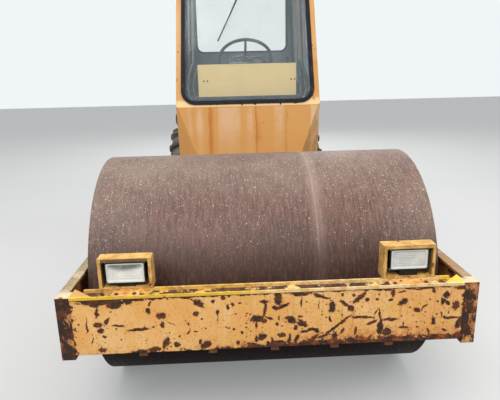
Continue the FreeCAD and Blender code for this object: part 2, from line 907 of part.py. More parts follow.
def make_counterweight():
    """Cast rear block with a tow slot, its pin bore, lamp pockets and the hood's hinge ears."""
    y0 = counterweight_y
    low = counterweight_bottom_z
    high = counterweight_top_z
    half = counterweight_half
    block = box(-half, half, y0, rear_face_y, low, high)
    corners = [
        e for e in block.Edges
        if abs(e.tangentAt(e.FirstParameter).z) > 0.9 and e.CenterOfMass.y > y0 + cut_past
    ]
    block = block.makeFillet(counterweight_corner, corners)
    side_view = profile_x(
        [
            (y0, low), (rear_face_y - counterweight_chamfer, low), (rear_face_y, low + counterweight_chamfer),
            (rear_face_y, high), (y0, high),
        ],
        -half - cut_past, half + cut_past,
    )
    slot_z = low + tow_slot_rise
    slot_top = slot_z + tow_slot_height
    slot = box(
        -tow_slot_half, tow_slot_half, rear_face_y - tow_slot_depth, rear_face_y + cut_past, slot_z, slot_top,
    )
    bore = rod_z(tow_bore_radius, low - cut_past, slot_top + tow_bore_past, 0, rear_face_y - tow_bore_back)
    block = block.common(side_view).cut(slot).cut(bore)
    floor_y = rear_face_y - tail_lamp_depth
    gap = tail_lamp_gap
    lamp_low = high - tail_lamp_drop - tail_lamp_height / 2
    lamp_high = lamp_low + tail_lamp_height
    lamps = []
    for side in (-1, 1):
        x0 = side * (half - tail_lamp_inset) - tail_lamp_width / 2
        x1 = x0 + tail_lamp_width
        block = block.cut(box(x0, x1, floor_y, rear_face_y + cut_past, lamp_low, lamp_high))
        lamps.append(box(
            x0 + gap, x1 - gap, floor_y, rear_face_y - tail_lamp_sunk, lamp_low + gap, lamp_high - gap,
        ))
    ears = [hood_ear(x, 1) for x in hood_ear_places(0) + hood_ear_places(2)]
    save("counterweight", fuse([block] + ears))
    save("tail_lamps", Part.makeCompound(lamps))


def hood_ear_places(slot):
    """Where the hood's hinge ears start on each side; slots 0 and 2 are fixed, slot 1 moves."""
    first = hood_ear_x + slot * (hood_ear_width + seat_gap)
    return [first, -first - hood_ear_width]


def hood_ear(x, way):
    """One hinge knuckle with its arm towards the counterweight (1) or the hood (-1)."""
    axis_y = counterweight_y - hood_axis_gap
    x1 = x + hood_ear_width
    knuckle = rod_x(hood_knuckle, x, x1, axis_y, hood_axis_z)
    if way > 0:
        arm = box(x, x1, axis_y, counterweight_y + hood_ear_lap, counterweight_top_z, hood_axis_z)
    else:
        arm = box(x, x1, hood_rear_y, axis_y, hood_axis_z, hood_axis_z + hood_knuckle)
    return knuckle.fuse(arm)


def make_rear_axle():
    """Axle casing turned in one piece: swollen middle, tubes and brake hubs, with pads under the rails."""
    end_x = tyre_mid_x - rim_disc_offset - seat_gap
    hub_x = end_x - axle_hub_length
    half = [
        (axle_centre_flat, axle_centre_radius), (axle_centre_half, axle_tube_radius),
        (hub_x, axle_tube_radius), (hub_x + axle_hub_taper, axle_hub_radius), (end_x, axle_hub_radius),
    ]
    mirrored = [(-x, radius) for x, radius in reversed(half)]
    parts = [
        turned(mirrored + half, Vector(0, axle_y, axle_z), Vector(1, 0, 0)),
        rod_y(axle_cover_radius, axle_y, axle_y + axle_centre_radius + axle_cover_proud, 0, axle_z),
    ]
    pad_half = axle_pad_length / 2
    for side in (-1, 1):
        x = side * (rail_x + rail_plate / 2)
        parts.append(box(
            x - axle_pad_half, x + axle_pad_half, axle_y - pad_half, axle_y + pad_half,
            axle_z + axle_pad_lap, rail_bottom_z,
        ))
    save("rear_axle", fuse(parts))


def tyre_ring(x, radius):
    """A many-sided ring round the wheel's axis, with as many sides for each pitch of the tread."""
    count = tyre_lug_pairs * tyre_sides_per_pitch
    corners = []
    for i in range(count):
        angle = 2 * math.pi * i / count
        corners.append(Vector(x, radius * math.sin(angle), radius * math.cos(angle)))
    return Part.makePolygon(corners + [corners[0]])


def tyre_lug(angle, hand):
    """One bar of the tread, swept back round the tyre from its middle to its shoulder and down the side."""
    base = tyre_radius - tyre_lug_height
    half = tyre_width / 2
    shoulder = half - tyre_shoulder_inset
    side = half - tyre_side_inset
    top_half = tyre_lug_width / 2
    foot_half = top_half + tyre_lug_spread
    table = [
        # distance from the tyre's middle, radius at the foot, radius at the top
        (-tyre_lug_lap, base - tyre_lug_root, tyre_radius),
        (shoulder, base - tyre_shoulder_drop, tyre_radius),
        (side, base - tyre_shoulder_drop - tyre_side_drop, tyre_radius - tyre_shoulder_drop),
    ]
    sections = []
    for reach, foot, top in table:
        sweep = (reach + tyre_lug_lap) * math.tan(math.radians(tyre_lug_sweep)) / tyre_radius
        turn = Rotation(Vector(1, 0, 0), math.degrees(angle + sweep))
        x = hand * reach
        corners = [
            turn.multVec(Vector(x, y, z))
            for y, z in ((-foot_half, foot), (foot_half, foot), (top_half, top), (-top_half, top))
        ]
        sections.append(Part.makePolygon(corners + [corners[0]]))
    return Part.makeLoft(sections, True, True)


def make_tyre():
    """Tyre lofted through rings from bead to bead, with the tread's bars fused on."""
    base = tyre_radius - tyre_lug_height
    half = tyre_width / 2
    left = [
        (-rim_width / 2, rim_radius + tyre_bead), (-half + tyre_bead_inset, rim_radius + tyre_bead_rise),
        (-half, rim_radius + tyre_bulge_rise), (-half + tyre_flank_inset, base - tyre_flank_drop),
        (-half + tyre_crown_inset, base - tyre_crown_drop),
    ]
    right = [(-x, radius) for x, radius in reversed(left)]
    rings = [tyre_ring(x, radius) for x, radius in left + [(0, base)] + right]
    carcass = Part.makeLoft(rings, True, True)
    carcass = carcass.cut(rod_x(rim_radius, -half - cut_past, half + cut_past, 0, 0))
    pitch = 2 * math.pi / tyre_lug_pairs
    lugs = []
    for i in range(tyre_lug_pairs):
        lugs.append(tyre_lug(i * pitch, -1))
        lugs.append(tyre_lug((i + 0.5) * pitch, 1))
    return carcass.multiFuse(lugs)


def make_rim():
    """Rim with a dished disc, its hub and a ring of hand holes."""
    disc_x = -rim_disc_offset
    weld_radius = rim_radius - rim_wall + rim_weld
    half = rim_width / 2
    barrel = rod_x(rim_radius - seat_gap, -half, half, 0, 0)
    barrel = barrel.cut(rod_x(rim_radius - rim_wall, -half - cut_past, half + cut_past, 0, 0))
    section = [
        (0, 0), (0, rim_disc_flat), (rim_dish, weld_radius), (rim_dish + rim_disc, weld_radius),
        (rim_disc, rim_disc_flat), (rim_disc, rim_hub_radius), (rim_hub_reach, rim_hub_radius),
        (rim_hub_reach, 0),
    ]
    points = [Vector(disc_x + x, 0, radius) for x, radius in section]
    dish = face_of(points).revolve(Vector(0, 0, 0), Vector(1, 0, 0), 360)
    for i in range(rim_hole_count):
        angle = 2 * math.pi * i / rim_hole_count
        y = rim_hole_circle * math.sin(angle)
        z = rim_hole_circle * math.cos(angle)
        dish = dish.cut(rod_x(rim_hole_radius, disc_x - cut_past, disc_x + rim_dish + cut_past, y, z))
    return fuse([barrel, dish])


def make_wheels():
    """Lug tyres on dished rims, one on each side."""
    tyre = make_tyre()
    rim = make_rim()
    for side, name in ((-1, "left"), (1, "right")):
        for label, shape in (("tyre", tyre), ("rim", rim)):
            placed = mirror_x(shape) if side < 0 else shape.copy()
            placed.translate(Vector(side * tyre_mid_x, axle_y, axle_z))
            save(f"{label}_{name}", placed)


def side_half(z, inset=0.0):
    """Half of the cab's width at a height, less an inset from its outer skin."""
    rise = max(0.0, z - cab_belt_z)
    return cab_half - inset - rise * math.tan(math.radians(cab_side_lean))


def front_at(z):
    """The cab's front skin at a height."""
    rise = max(0.0, z - cab_belt_z)
    return cab_front_y + rise * math.tan(math.radians(cab_front_lean))


def half_space(x_sign):
    """All that lies on one side of the middle plane."""
    return box(min(0, x_sign * far_off), max(0, x_sign * far_off), -far_off, far_off, -far_off, far_off)


def corner_cutter(inset):
    """What lies outside the swept-back lower corner on the +X side."""
    top = Vector(cab_half - crease_top_inset, cab_front_y, cab_belt_z - crease_top_drop)
    low = Vector(cab_half - crease_low_inset, cab_front_y, cab_bottom_z + crease_low_rise)
    back = Vector(cab_half, cab_front_y + corner_sweep, low.z)
    normal = (low - top).cross(back - top).normalize()
    if normal.y > 0:
        normal = normal * -1
    start = top - normal * inset
    size = 2 * cab_half
    across = (low - top).normalize() * size
    other = normal.cross(across).normalize() * size
    corners = [
        start - across - other, start + across - other, start + across + other, start - across + other,
    ]
    slab = face_of(corners).extrude(normal * size)
    return slab.common(box(0, far_off, -far_off, far_off, -far_off, cab_belt_z))


def cab_hull(inset):
    """The cab as one closed body, drawn in from its outer skin by an inset."""
    y0 = cab_front_y + inset
    y1 = cab_rear_y - inset
    half = cab_half - inset
    lower = box(-half, half, y0, y1, cab_bottom_z - cut_past, cab_belt_z)
    rings = []
    for z, width, front in (
        (cab_belt_z, half, y0),
        (cab_top_z, side_half(cab_top_z, inset), front_at(cab_top_z) + inset),
    ):
        rings.append(Part.makePolygon([
            Vector(-width, front, z), Vector(width, front, z), Vector(width, y1, z),
            Vector(-width, y1, z), Vector(-width, front, z),
        ]))
    hull = lower.fuse(Part.makeLoft(rings, True, True))
    cutter = corner_cutter(inset)
    return hull.cut(cutter).cut(mirror_x(cutter))


def below(z, y0=-far_off):
    """All that lies below a height, from y0 backwards."""
    return box(-far_off, far_off, y0, far_off, -far_off, z)


def cab_walls():
    """The cab's hollow skin, with the wheel arches cut away."""
    walls = cab_hull(0).cut(cab_hull(cab_wall))
    return walls.cut(below(cab_bottom_z)).cut(below(cab_arch_z, cab_arch_y))


def front_region():
    """All that belongs to the front panel and its pillars, seen from the side."""
    y0 = cab_front_y - cut_past
    y1 = cab_front_y + front_return
    shift = front_at(cab_top_z) - cab_front_y
    outline = [(y0, 0), (y1, 0), (y1, cab_belt_z), (y1 + shift, cab_top_z), (y0, cab_top_z)]
    return profile_x(outline, -far_off, far_off)


def on_screen(a, b):
    """A point of the windscreen's plane, from the middle of the belt line."""
    lean = math.radians(cab_front_lean)
    return Vector(a, cab_front_y + b * math.sin(lean), cab_belt_z + b * math.cos(lean))


def below_screen_top(place):
    """A point of the windscreen's plane, given down from the top of the cab's front."""
    return on_screen(place[0], screen_height - place[1])


def screen_normal():
    lean = math.radians(cab_front_lean)
    return Vector(0, -math.cos(lean), math.sin(lean))


def screen_corners(inset):
    """The windscreen opening's corners in its plane, drawn in by an inset."""
    low = screen_bottom_frame + inset
    high = screen_height - screen_top_frame - inset
    taper = math.tan(math.radians(cab_side_lean))
    low_half = cab_half - screen_side_frame - inset - low * taper
    high_half = cab_half - screen_side_frame - inset - high * taper
    return [(-low_half, low), (low_half, low), (high_half, high), (-high_half, high)]


def on_rear(a, b):
    return Vector(a, cab_rear_y, b)


def rear_corners(inset):
    """The rear window's corners, drawn in by an inset."""
    half = cab_half - rear_window_side - inset
    low = cab_belt_z + rear_window_rise + inset
    high = cab_top_z - rear_window_drop - inset
    return [(-half, low), (half, low), (half, high), (-half, high)]


def on_side(a, b):
    """A point of the upper side's plane on the +X side; a runs along Y and b is the height."""
    return Vector(side_half(b), a, b)


def side_normal():
    lean = math.radians(cab_side_lean)
    return Vector(math.cos(lean), 0, math.sin(lean))


def quarter_corners(inset):
    """The fixed side window's corners behind the door, drawn in by an inset."""
    y0 = door_rear_y + quarter_front_gap + inset
    y1 = cab_rear_y - quarter_rear_gap - inset
    low = cab_belt_z + quarter_rise + inset
    high = cab_top_z - quarter_drop - inset
    return [(y0, low), (y1, low), (y1, high), (y0, high)]


def door_front(z):
    """The door's front edge at a height, behind the front panel's return."""
    return front_at(z) + front_return + panel_gap


def door_corners(inset):
    """The door's outline from the side: bottom, hinge edge, top and the bend at the belt."""
    y1 = door_rear_y - inset
    low = cab_bottom_z + door_low_rise + inset
    top = cab_top_z - door_high_drop - inset
    return [
        (door_front(low) + inset, low), (y1, low), (y1, top), (door_front(top) + inset, top),
        (door_front(cab_belt_z) + inset, cab_belt_z),
    ]


def door_window_corners(inset):
    """The door window's corners, inside the door's frame."""
    edge = door_frame + inset
    y1 = door_rear_y - edge
    low = cab_belt_z + door_window_rise + inset
    top = cab_top_z - door_high_drop - edge
    return [(door_front(low) + edge, low), (y1, low), (y1, top), (door_front(top) + edge, top)]


def sheet(corners, radius, place, normal, low, high):
    """A rounded sheet between two depths along its plane's normal."""
    def shifted(a, b):
        return place(a, b) + normal * low
    return rounded_prism(corners, radius, shifted, normal * (high - low))


def window_cut(corners_at, radius, place, normal):
    """What is cut from a wall for a window."""
    return sheet(corners_at(0), radius, place, normal, -cab_wall - cut_past, cut_past)


def window_seal(corners_at, radius, place, normal):
    """Rubber ring in an opening: it lines the hole and laps the outer skin."""
    inner = seal_width - seal_lap
    hole = sheet(corners_at(inner), radius - inner, place, normal, -cab_wall - cut_past, cut_past)
    liner = sheet(corners_at(seat_gap), radius, place, normal, -cab_wall, seal_proud)
    lap = sheet(corners_at(-seal_lap), radius + seal_lap, place, normal, seat_gap, seal_proud)
    return fuse([liner, lap]).cut(hole)


def pane(corners_at, radius, place, normal):
    """Glass that fills what the seal leaves open."""
    inner = seal_width - seal_lap + seat_gap
    depth = cab_wall / 2
    return sheet(corners_at(inner), radius - inner, place, normal, -depth, -depth + glass_thickness)


def door_prism(inset):
    """The door's outline driven through the +X side."""
    points = [Vector(0, y, z) for y, z in door_corners(inset)]
    return face_of(points).extrude(Vector(far_off, 0, 0))


def hinge_knuckles(slot):
    """Where hinge barrels start behind the door's rear edge; slots 0 and 2 are fixed, slot 1 is the door's."""
    pitch = hinge_length + seat_gap
    return [cab_bottom_z + rise + slot * pitch for rise in hinge_rises]


def hinge_part(z0, way):
    """One knuckle with its leaf towards the fixed side (1) or the door (-1)."""
    x = cab_half + hinge_offset
    z1 = z0 + hinge_length
    y = door_rear_y + panel_gap / 2
    near, far = sorted((y + way * panel_gap / 2, y + way * hinge_leaf))
    leaf = box(cab_half, x, near, far, z0, z1)
    arm = box(x - hinge_radius / 2, x, min(y, far), max(y, near), z0, z1)
    return fuse([rod_z(hinge_radius, z0, z1, x, y), leaf, arm])


def door_handle():
    """A pull handle near the door's front edge."""
    y0 = door_front(cab_belt_z) - panel_gap + handle_setback
    y1 = y0 + handle_bar
    x1 = cab_half + handle_stand_off
    top = cab_belt_z - handle_drop
    low = top - handle_length
    return fuse([
        box(cab_half, x1, y0, y1, top - handle_bar, top),
        box(cab_half, x1, y0, y1, low, low + handle_bar),
        box(x1 - handle_bar, x1, y0, y1, low, top),
    ])


def make_cab():
    """Cab panels: front, two sides, rear wall and the two doors."""
    walls = cab_walls()
    region = front_region()
    rear_part = box(-far_off, far_off, cab_rear_y - cab_wall, far_off, 0, far_off)
    front = walls.common(region).cut(window_cut(screen_corners, screen_corner, on_screen, screen_normal()))
    save("cab_front", front)
    rear = walls.common(rear_part).cut(window_cut(rear_corners, rear_window_corner, on_rear, Vector(0, 1, 0)))
    save("cab_rear", rear)
    side = walls.cut(region).cut(rear_part).common(half_space(1))
    door = side.common(door_prism(0))
    door = door.cut(window_cut(door_window_corners, side_window_corner, on_side, side_normal()))
    side = side.cut(door_prism(-panel_gap))
    side = side.cut(window_cut(quarter_corners, side_window_corner, on_side, side_normal()))
    fixed = [hinge_part(z, 1) for z in hinge_knuckles(0) + hinge_knuckles(2)]
    moving = [hinge_part(z, -1) for z in hinge_knuckles(1)]
    save("cab_sides", both_sides(fuse([side] + fixed)))
    door = fuse([door, door_handle()] + moving)
    save("door_right", door)
    save("door_left", mirror_x(door))


def make_glass():
    """Panes and their rubber rings; the doors' panes sit straight in the doors' frames."""
    depth = cab_wall / 2
    door_glass = sheet(
        door_window_corners(seat_gap), side_window_corner, on_side, side_normal(),
        -depth, -depth + glass_thickness,
    )
    save("door_glass_right", door_glass)
    save("door_glass_left", mirror_x(door_glass))
    windows = [
        # corners, corner radius, place, normal
        (screen_corners, screen_corner, on_screen, screen_normal()),
        (rear_corners, rear_window_corner, on_rear, Vector(0, 1, 0)),
        (quarter_corners, side_window_corner, on_side, side_normal()),
    ]
    panes = [pane(*window) for window in windows]
    seals = [window_seal(*window) for window in windows]
    save("cab_glass", Part.makeCompound(panes + [mirror_x(panes[-1])]))
    save("window_seals", Part.makeCompound(seals + [mirror_x(seals[-1])]))


def make_roof():
    """Roof slab with round corners and a small overhang."""
    half = side_half(cab_top_z) + roof_overhang
    y0 = front_at(cab_top_z) - roof_front_overhang
    y1 = cab_rear_y + roof_overhang
    top = cab_top_z + roof_thickness
    slab = rounded_box(-half, half, y0, y1, cab_top_z, top, roof_corner)
    top_edges = [e for e in slab.Edges if min(v.Z for v in e.Vertexes) > top - seat_gap]
    save("cab_roof", slab.makeFillet(roof_edge_round, top_edges))


def make_floor():
    """Stepped floor: foot well in front, seat platform over the wheels, on six mounts."""
    under = cab_bottom_z - cab_floor_plate
    seat_under = cab_arch_z - cab_floor_plate
    step_y = cab_arch_y + cab_floor_plate
    outline = [
        (cab_front_y, under), (step_y, under), (step_y, seat_under), (cab_rear_y, seat_under),
        (cab_rear_y, cab_arch_z), (cab_arch_y, cab_arch_z), (cab_arch_y, cab_bottom_z),
        (cab_front_y, cab_bottom_z),
    ]
    cutter = corner_cutter(0)
    save("cab_floor", profile_x(outline, -cab_half, cab_half).cut(cutter).cut(mirror_x(cutter)))
    rail_mid = rail_x + rail_plate / 2
    table = [
        # x, y, foot height, top height
        (nose_half - mount_pad_radius, bulkhead_y - mount_nose_gap, oscillation_z + nose_above, under),
        (rail_mid, bulkhead_y + mount_rail_gap, rail_top_z, under),
        (rail_mid, cab_rear_y - mount_rear_gap, rail_top_z, seat_under),
    ]
    mounts = []
    for x, y, low, high in table:
        for side in (-1, 1):
            column = rod_z(mount_radius, low, high, side * x, y)
            mounts.append(column.fuse(rod_z(mount_pad_radius, high - mount_pad_height, high, side * x, y)))
    save("cab_mounts", Part.makeCompound(mounts))


def make_steering():
    """Steering wheel on its column, the dashboard's shelf and pedestal, and the board that stands on it."""
    lean = math.radians(steering_tilt)
    centre = Vector(0, cab_front_y + steering_setback, board_low_z + steering_rise)
    down = Vector(0, -math.sin(lean), -math.cos(lean))
    across = Vector(1, 0, 0)
    up = down.cross(across)
    mid_radius = steering_radius - steering_rim_radius
    corners = []
    for i in range(steering_rim_sides):
        angle = 2 * math.pi * (i + 0.5) / steering_rim_sides
        out = mid_radius + steering_rim_radius * math.cos(angle)
        corners.append(centre + across * out + down * (steering_rim_radius * math.sin(angle)))
    parts = [
        face_of(corners).revolve(centre, down, 360),
        between(steering_hub_radius, centre - down * steering_hub_front, centre + down * steering_hub_back),
    ]
    for angle in steering_spokes:
        a = math.radians(angle)
        end = centre + (across * math.cos(a) + up * math.sin(a)) * mid_radius
        parts.append(between(steering_spoke_radius, centre + down * steering_hub_front, end))
    save("steering_wheel", fuse(parts))
    shelf_low = board_low_z - shelf_thickness
    foot = centre + down * ((steering_rise + shelf_thickness / 2) / math.cos(lean))
    column = between(steering_column_radius, centre + down * (steering_hub_back + seat_gap), foot)
    shelf_front = front_at(board_low_z) + cab_wall
    shelf_rear = cab_front_y + shelf_depth
    pedestal = box(
        -pedestal_half, pedestal_half, cab_front_y + pedestal_setback, shelf_rear, cab_bottom_z, shelf_low,
    )
    shelf = box(-shelf_half, shelf_half, shelf_front, shelf_rear, shelf_low, board_low_z)
    save("dashboard", fuse([column.cut(below(shelf_low)), pedestal, shelf]))
    board_y = shelf_front + board_setback
    half = board_width / 2
    board_top = board_low_z + board_height
    save("screen_board", box(-half, half, board_y, board_y + board_thickness, board_low_z, board_top))


def make_seat():
    """Low-backed seat on a pedestal, over the wheels."""
    y1 = cab_rear_y - seat_rear_gap - back_thickness - seat_gap
    y0 = y1 - seat_depth
    half = seat_width / 2
    pan_z = cab_arch_z + seat_pedestal_height
    cushion_z = pan_z + seat_pan_height
    cushion_top = cushion_z + cushion_thickness
    inset = seat_pan_inset
    base = fuse([
        box(
            -seat_pedestal_half, seat_pedestal_half, y0 + inset, y0 + inset + seat_pedestal_depth,
            cab_arch_z, pan_z,
        ),
        box(-half + inset, half - inset, y0 + inset, y1 + back_thickness, pan_z, cushion_z),
    ])
    save("seat_base", base)
    save("seat_cushion", rounded_box(-half, half, y0, y1, cushion_z + seat_gap, cushion_top, seat_corner))
    low_half = half - seat_pan_inset
    top_half = low_half - back_taper
    outline = [
        (-low_half, cushion_z + seat_gap), (low_half, cushion_z + seat_gap),
        (top_half, cushion_top + back_height), (-top_half, cushion_top + back_height),
    ]
    back_y = y1 + seat_gap
    back = rounded_prism(outline, back_corner, lambda a, b: Vector(a, back_y, b), Vector(0, back_thickness, 0))
    save("seat_back", back)


def make_console():
    """Side console with its travel lever, against the wall to the seat's right."""
    x1 = cab_half - cab_wall - console_wall_gap
    y1 = cab_rear_y - console_rear_gap
    y0 = y1 - console_length
    top = cab_arch_z + console_height
    console = box(x1 - console_width, x1, y0, y1, cab_arch_z, top)
    foot = Vector(x1 - console_width / 2, y0 + lever_setback, top)
    tip = foot + Vector(0, -lever_lean, lever_rise)
    way = (tip - foot).normalize()
    knob_profile = [
        (0, lever_radius), (knob_height / 3, knob_radius), (knob_height * 2 / 3, knob_radius),
        (knob_height, lever_radius),
    ]
    knob = turned(knob_profile, tip - way * lever_radius, way)
    save("side_console", fuse([console, between(lever_radius, foot, tip), knob]))


def make_wiper():
    """Wiper on the windscreen: pivot near its top, arm and blade."""
    out = screen_normal()
    pivot = below_screen_top(wiper_pivot)
    foot = below_screen_top(wiper_foot) + out * wiper_lift
    tip = below_screen_top(wiper_tip) + out * wiper_blade_gap
    root = below_screen_top(wiper_root) + out * wiper_blade_gap
    wiper = fuse([
        between(wiper_hub_radius, pivot + out * seat_gap, pivot + out * (wiper_lift + seat_gap)),
        between(wiper_arm_radius, pivot + out * (wiper_lift - wiper_arm_radius), foot),
        between(wiper_arm_radius, foot, (tip + root) * 0.5),
        between(wiper_blade_radius, tip, root),
    ])
    save("wiper", wiper)


def hood_hull(inset):
    """The hood's arched outside, drawn in by an inset and open below."""
    half = hood_half - inset
    top = hood_top_z - inset
    foot = hood_low_z - hood_corner * 2
    y0 = hood_front_y + inset
    way = Vector(0, hood_rear_y - hood_front_y - 2 * inset, 0)
    corners = [(-half, foot), (half, foot), (half, top), (-half, top)]
    return rounded_prism(corners, hood_corner - inset, lambda a, b: Vector(a, y0, b), way)


def make_hood():
    """Engine hood: a rounded shell with louvred sides, a barred rear opening and the exhaust stack."""
    shell = hood_hull(0).cut(hood_hull(hood_wall)).cut(below(hood_low_z))
    louvre_y = hood_front_y + louvre_front_gap
    for i in range(louvre_count):
        z = hood_low_z + louvre_rise + i * louvre_pitch
        shell = shell.cut(box(
            -far_off, far_off, louvre_y, louvre_y + louvre_length, z, z + louvre_height,
        ))
    low = hood_low_z + grille_margin
    high = hood_top_z - grille_margin
    half = hood_half - grille_margin
    inner_y = hood_rear_y - hood_wall
    shell = shell.cut(box(-half, half, inner_y - cut_past, hood_rear_y + cut_past, low, high))
    ears = [hood_ear(x, -1) for x in hood_ear_places(1)]
    save("hood", fuse([shell] + ears))
    bars = []
    step = (high - low) / grille_count
    for i in range(grille_count):
        z = low + (i + 0.5) * step - grille_bar / 2
        bars.append(box(-half, half, inner_y, inner_y + grille_bar_depth, z, z + grille_bar))
    for x in (-half, -grille_bar / 2, half - grille_bar):
        bars.append(box(x, x + grille_bar, inner_y, inner_y + grille_post_depth, low, high))
    save("hood_grille", fuse(bars))
    stack_y = hood_front_y + stack_front_gap
    top = hood_top_z + stack_height
    stack = rod_z(stack_radius, hood_top_z, top, stack_x, stack_y)
    stack = stack.cut(rod_z(stack_radius - stack_wall, hood_top_z + cut_past, top + cut_past, stack_x, stack_y))
    y0 = stack_y - stack_radius
    y1 = stack_y + stack_radius
    slant = profile_x(
        [(y0, top), (y1 + cut_past, top - stack_slant), (y1 + cut_past, top + cut_past), (y0, top + cut_past)],
        stack_x - stack_radius - cut_past, stack_x + stack_radius + cut_past,
    )
    save("exhaust_stack", stack.cut(slant))


def make_engine_bay():
    """Engine block, radiator and the two tanks beside the hood."""
    y0 = hood_front_y + engine_front_gap
    y1 = y0 + engine_length
    parts = [box(-engine_half, engine_half, y0, y1, rail_bottom_z, rail_bottom_z + engine_height)]
    for y in (y0 + engine_foot_inset, y1 - engine_foot_inset):
        parts.append(box(
            -rail_x, rail_x, y - engine_foot_length / 2, y + engine_foot_length / 2,
            rail_bottom_z + engine_foot_rise, rail_bottom_z + engine_foot_rise + engine_foot_height,
        ))
    save("engine", fuse(parts))
    radiator_y = hood_rear_y - radiator_rear_gap
    save("radiator", box(
        -rail_x, rail_x, radiator_y - radiator_depth, radiator_y, rail_bottom_z, hood_top_z - radiator_top_gap,
    ))
    x0 = hood_half + tank_side_gap
    x1 = x0 + tank_width
    y1 = hood_rear_y - tank_rear_gap
    y0 = y1 - tank_length
    low = rail_bottom_z - tank_below_rail
    top = low + tank_height
    foot_z = low + tank_foot_rise
    tank = fuse([
        rounded_box(x0, x1, y0, y1, low, top, tank_corner, "y"),
        rod_z(tank_cap_radius, top, top + tank_cap_height, x1 - tank_cap_inset, y0 + tank_cap_setback),
        box(
            rail_x + rail_plate, x0, y0 + tank_foot_inset, y1 - tank_foot_inset,
            foot_z, foot_z + tank_foot_height,
        ),
    ])
    save("side_tanks", both_sides(tank))


def make_steps():
    """Two treads on each side, hung from an outrigger on the rails."""
    x0 = cab_half + step_side_gap
    x1 = x0 + step_width
    y1 = axle_y - tyre_radius - step_tyre_gap
    y0 = y1 - step_length
    top = rail_top_z - step_top_drop
    foot = rail_top_z - step_drops[0] - step_foot
    parts = [box(rail_x + rail_plate, x1, y1 - step_arm_length, y1, top - step_arm_height, top)]
    for y in (y0, y1 - step_plate):
        parts.append(box(x0, x1, y, y + step_plate, foot, top))
    for drop in step_drops:
        z = rail_top_z - drop
        parts.append(box(x0, x1, y0, y1, z, z + step_plate))
    save("steps", both_sides(fuse(parts)))


def main():
    os.makedirs("parts", exist_ok=True)
    make_front_beam()
    make_corner_posts()
    make_side_beams()
    make_crossbeam()
    make_drum()
    make_drum_carriers()
    make_scrapers()
    make_lamp_guards()
    make_hitch()
    make_cylinders()
    make_nose()
    make_rails()
    make_counterweight()
    make_rear_axle()
    make_wheels()
    make_cab()
    make_glass()
    make_roof()
    make_floor()
    make_steering()
    make_seat()
    make_console()
    make_wiper()
    make_hood()
    make_engine_bay()
    make_steps()


main()
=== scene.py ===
"""Single-drum road roller: its paint, rust, rubber, glass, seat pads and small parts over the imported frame."""

import math

import bmesh
import bpy
from mathutils import Matrix, Vector


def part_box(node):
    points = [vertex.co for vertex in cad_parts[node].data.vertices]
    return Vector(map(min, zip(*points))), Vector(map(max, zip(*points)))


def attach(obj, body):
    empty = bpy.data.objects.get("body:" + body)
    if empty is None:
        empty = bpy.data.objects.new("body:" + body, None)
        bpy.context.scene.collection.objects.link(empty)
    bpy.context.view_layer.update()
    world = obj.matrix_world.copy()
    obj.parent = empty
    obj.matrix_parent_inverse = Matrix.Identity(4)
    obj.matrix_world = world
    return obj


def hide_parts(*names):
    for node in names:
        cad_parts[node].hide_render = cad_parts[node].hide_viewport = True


bl_info = {
    "name": "Road roller looks",
    "version": (1, 0, 0),
    "blender": (4, 5, 0),
    "location": "3D View > Sidebar > Roller",
    "description": "Dresses the packed frame of a single-drum road roller",
    "category": "Object",
}

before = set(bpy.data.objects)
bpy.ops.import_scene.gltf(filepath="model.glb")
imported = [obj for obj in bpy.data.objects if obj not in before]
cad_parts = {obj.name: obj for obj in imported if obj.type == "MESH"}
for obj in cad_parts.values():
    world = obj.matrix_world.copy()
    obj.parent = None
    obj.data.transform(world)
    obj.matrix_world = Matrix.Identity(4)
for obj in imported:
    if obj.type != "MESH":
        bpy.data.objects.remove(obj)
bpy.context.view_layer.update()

DRUM_AXIS = Vector((0, -1.509, 0.61))
WHEEL_AXIS = Vector((0, 0.841, 0.575))
DRUM_RADIUS = 0.61
BEAM_TOP = 0.763
LAMP_X = 0.614
CAB_MIDDLE = Vector((0, 0.216, 0))
CAB_FRONT, CAB_SIDE, CAB_REAR = -0.459, 0.561, 0.891
CAB_SILL = 1.44
CAB_LEAN = math.tan(math.radians(8))
CAB_FOLD = 1.4355


def rgb(red, green, blue):
    """A colour as a screen shows it, 0 to 255, turned into linear values."""
    shares = (red / 255, green / 255, blue / 255)
    return tuple(s / 12.92 if s <= 0.04045 else ((s + 0.055) / 1.055) ** 2.4 for s in shares) + (1.0,)


def tint(name, description, red, green, blue):
    return bpy.props.FloatVectorProperty(
        name=name, description=description, subtype="COLOR", size=4, min=0, max=1, default=rgb(red, green, blue),
    )


def length(name, description, metres):
    return bpy.props.FloatProperty(name=name, description=description, unit="LENGTH", min=0, default=metres)


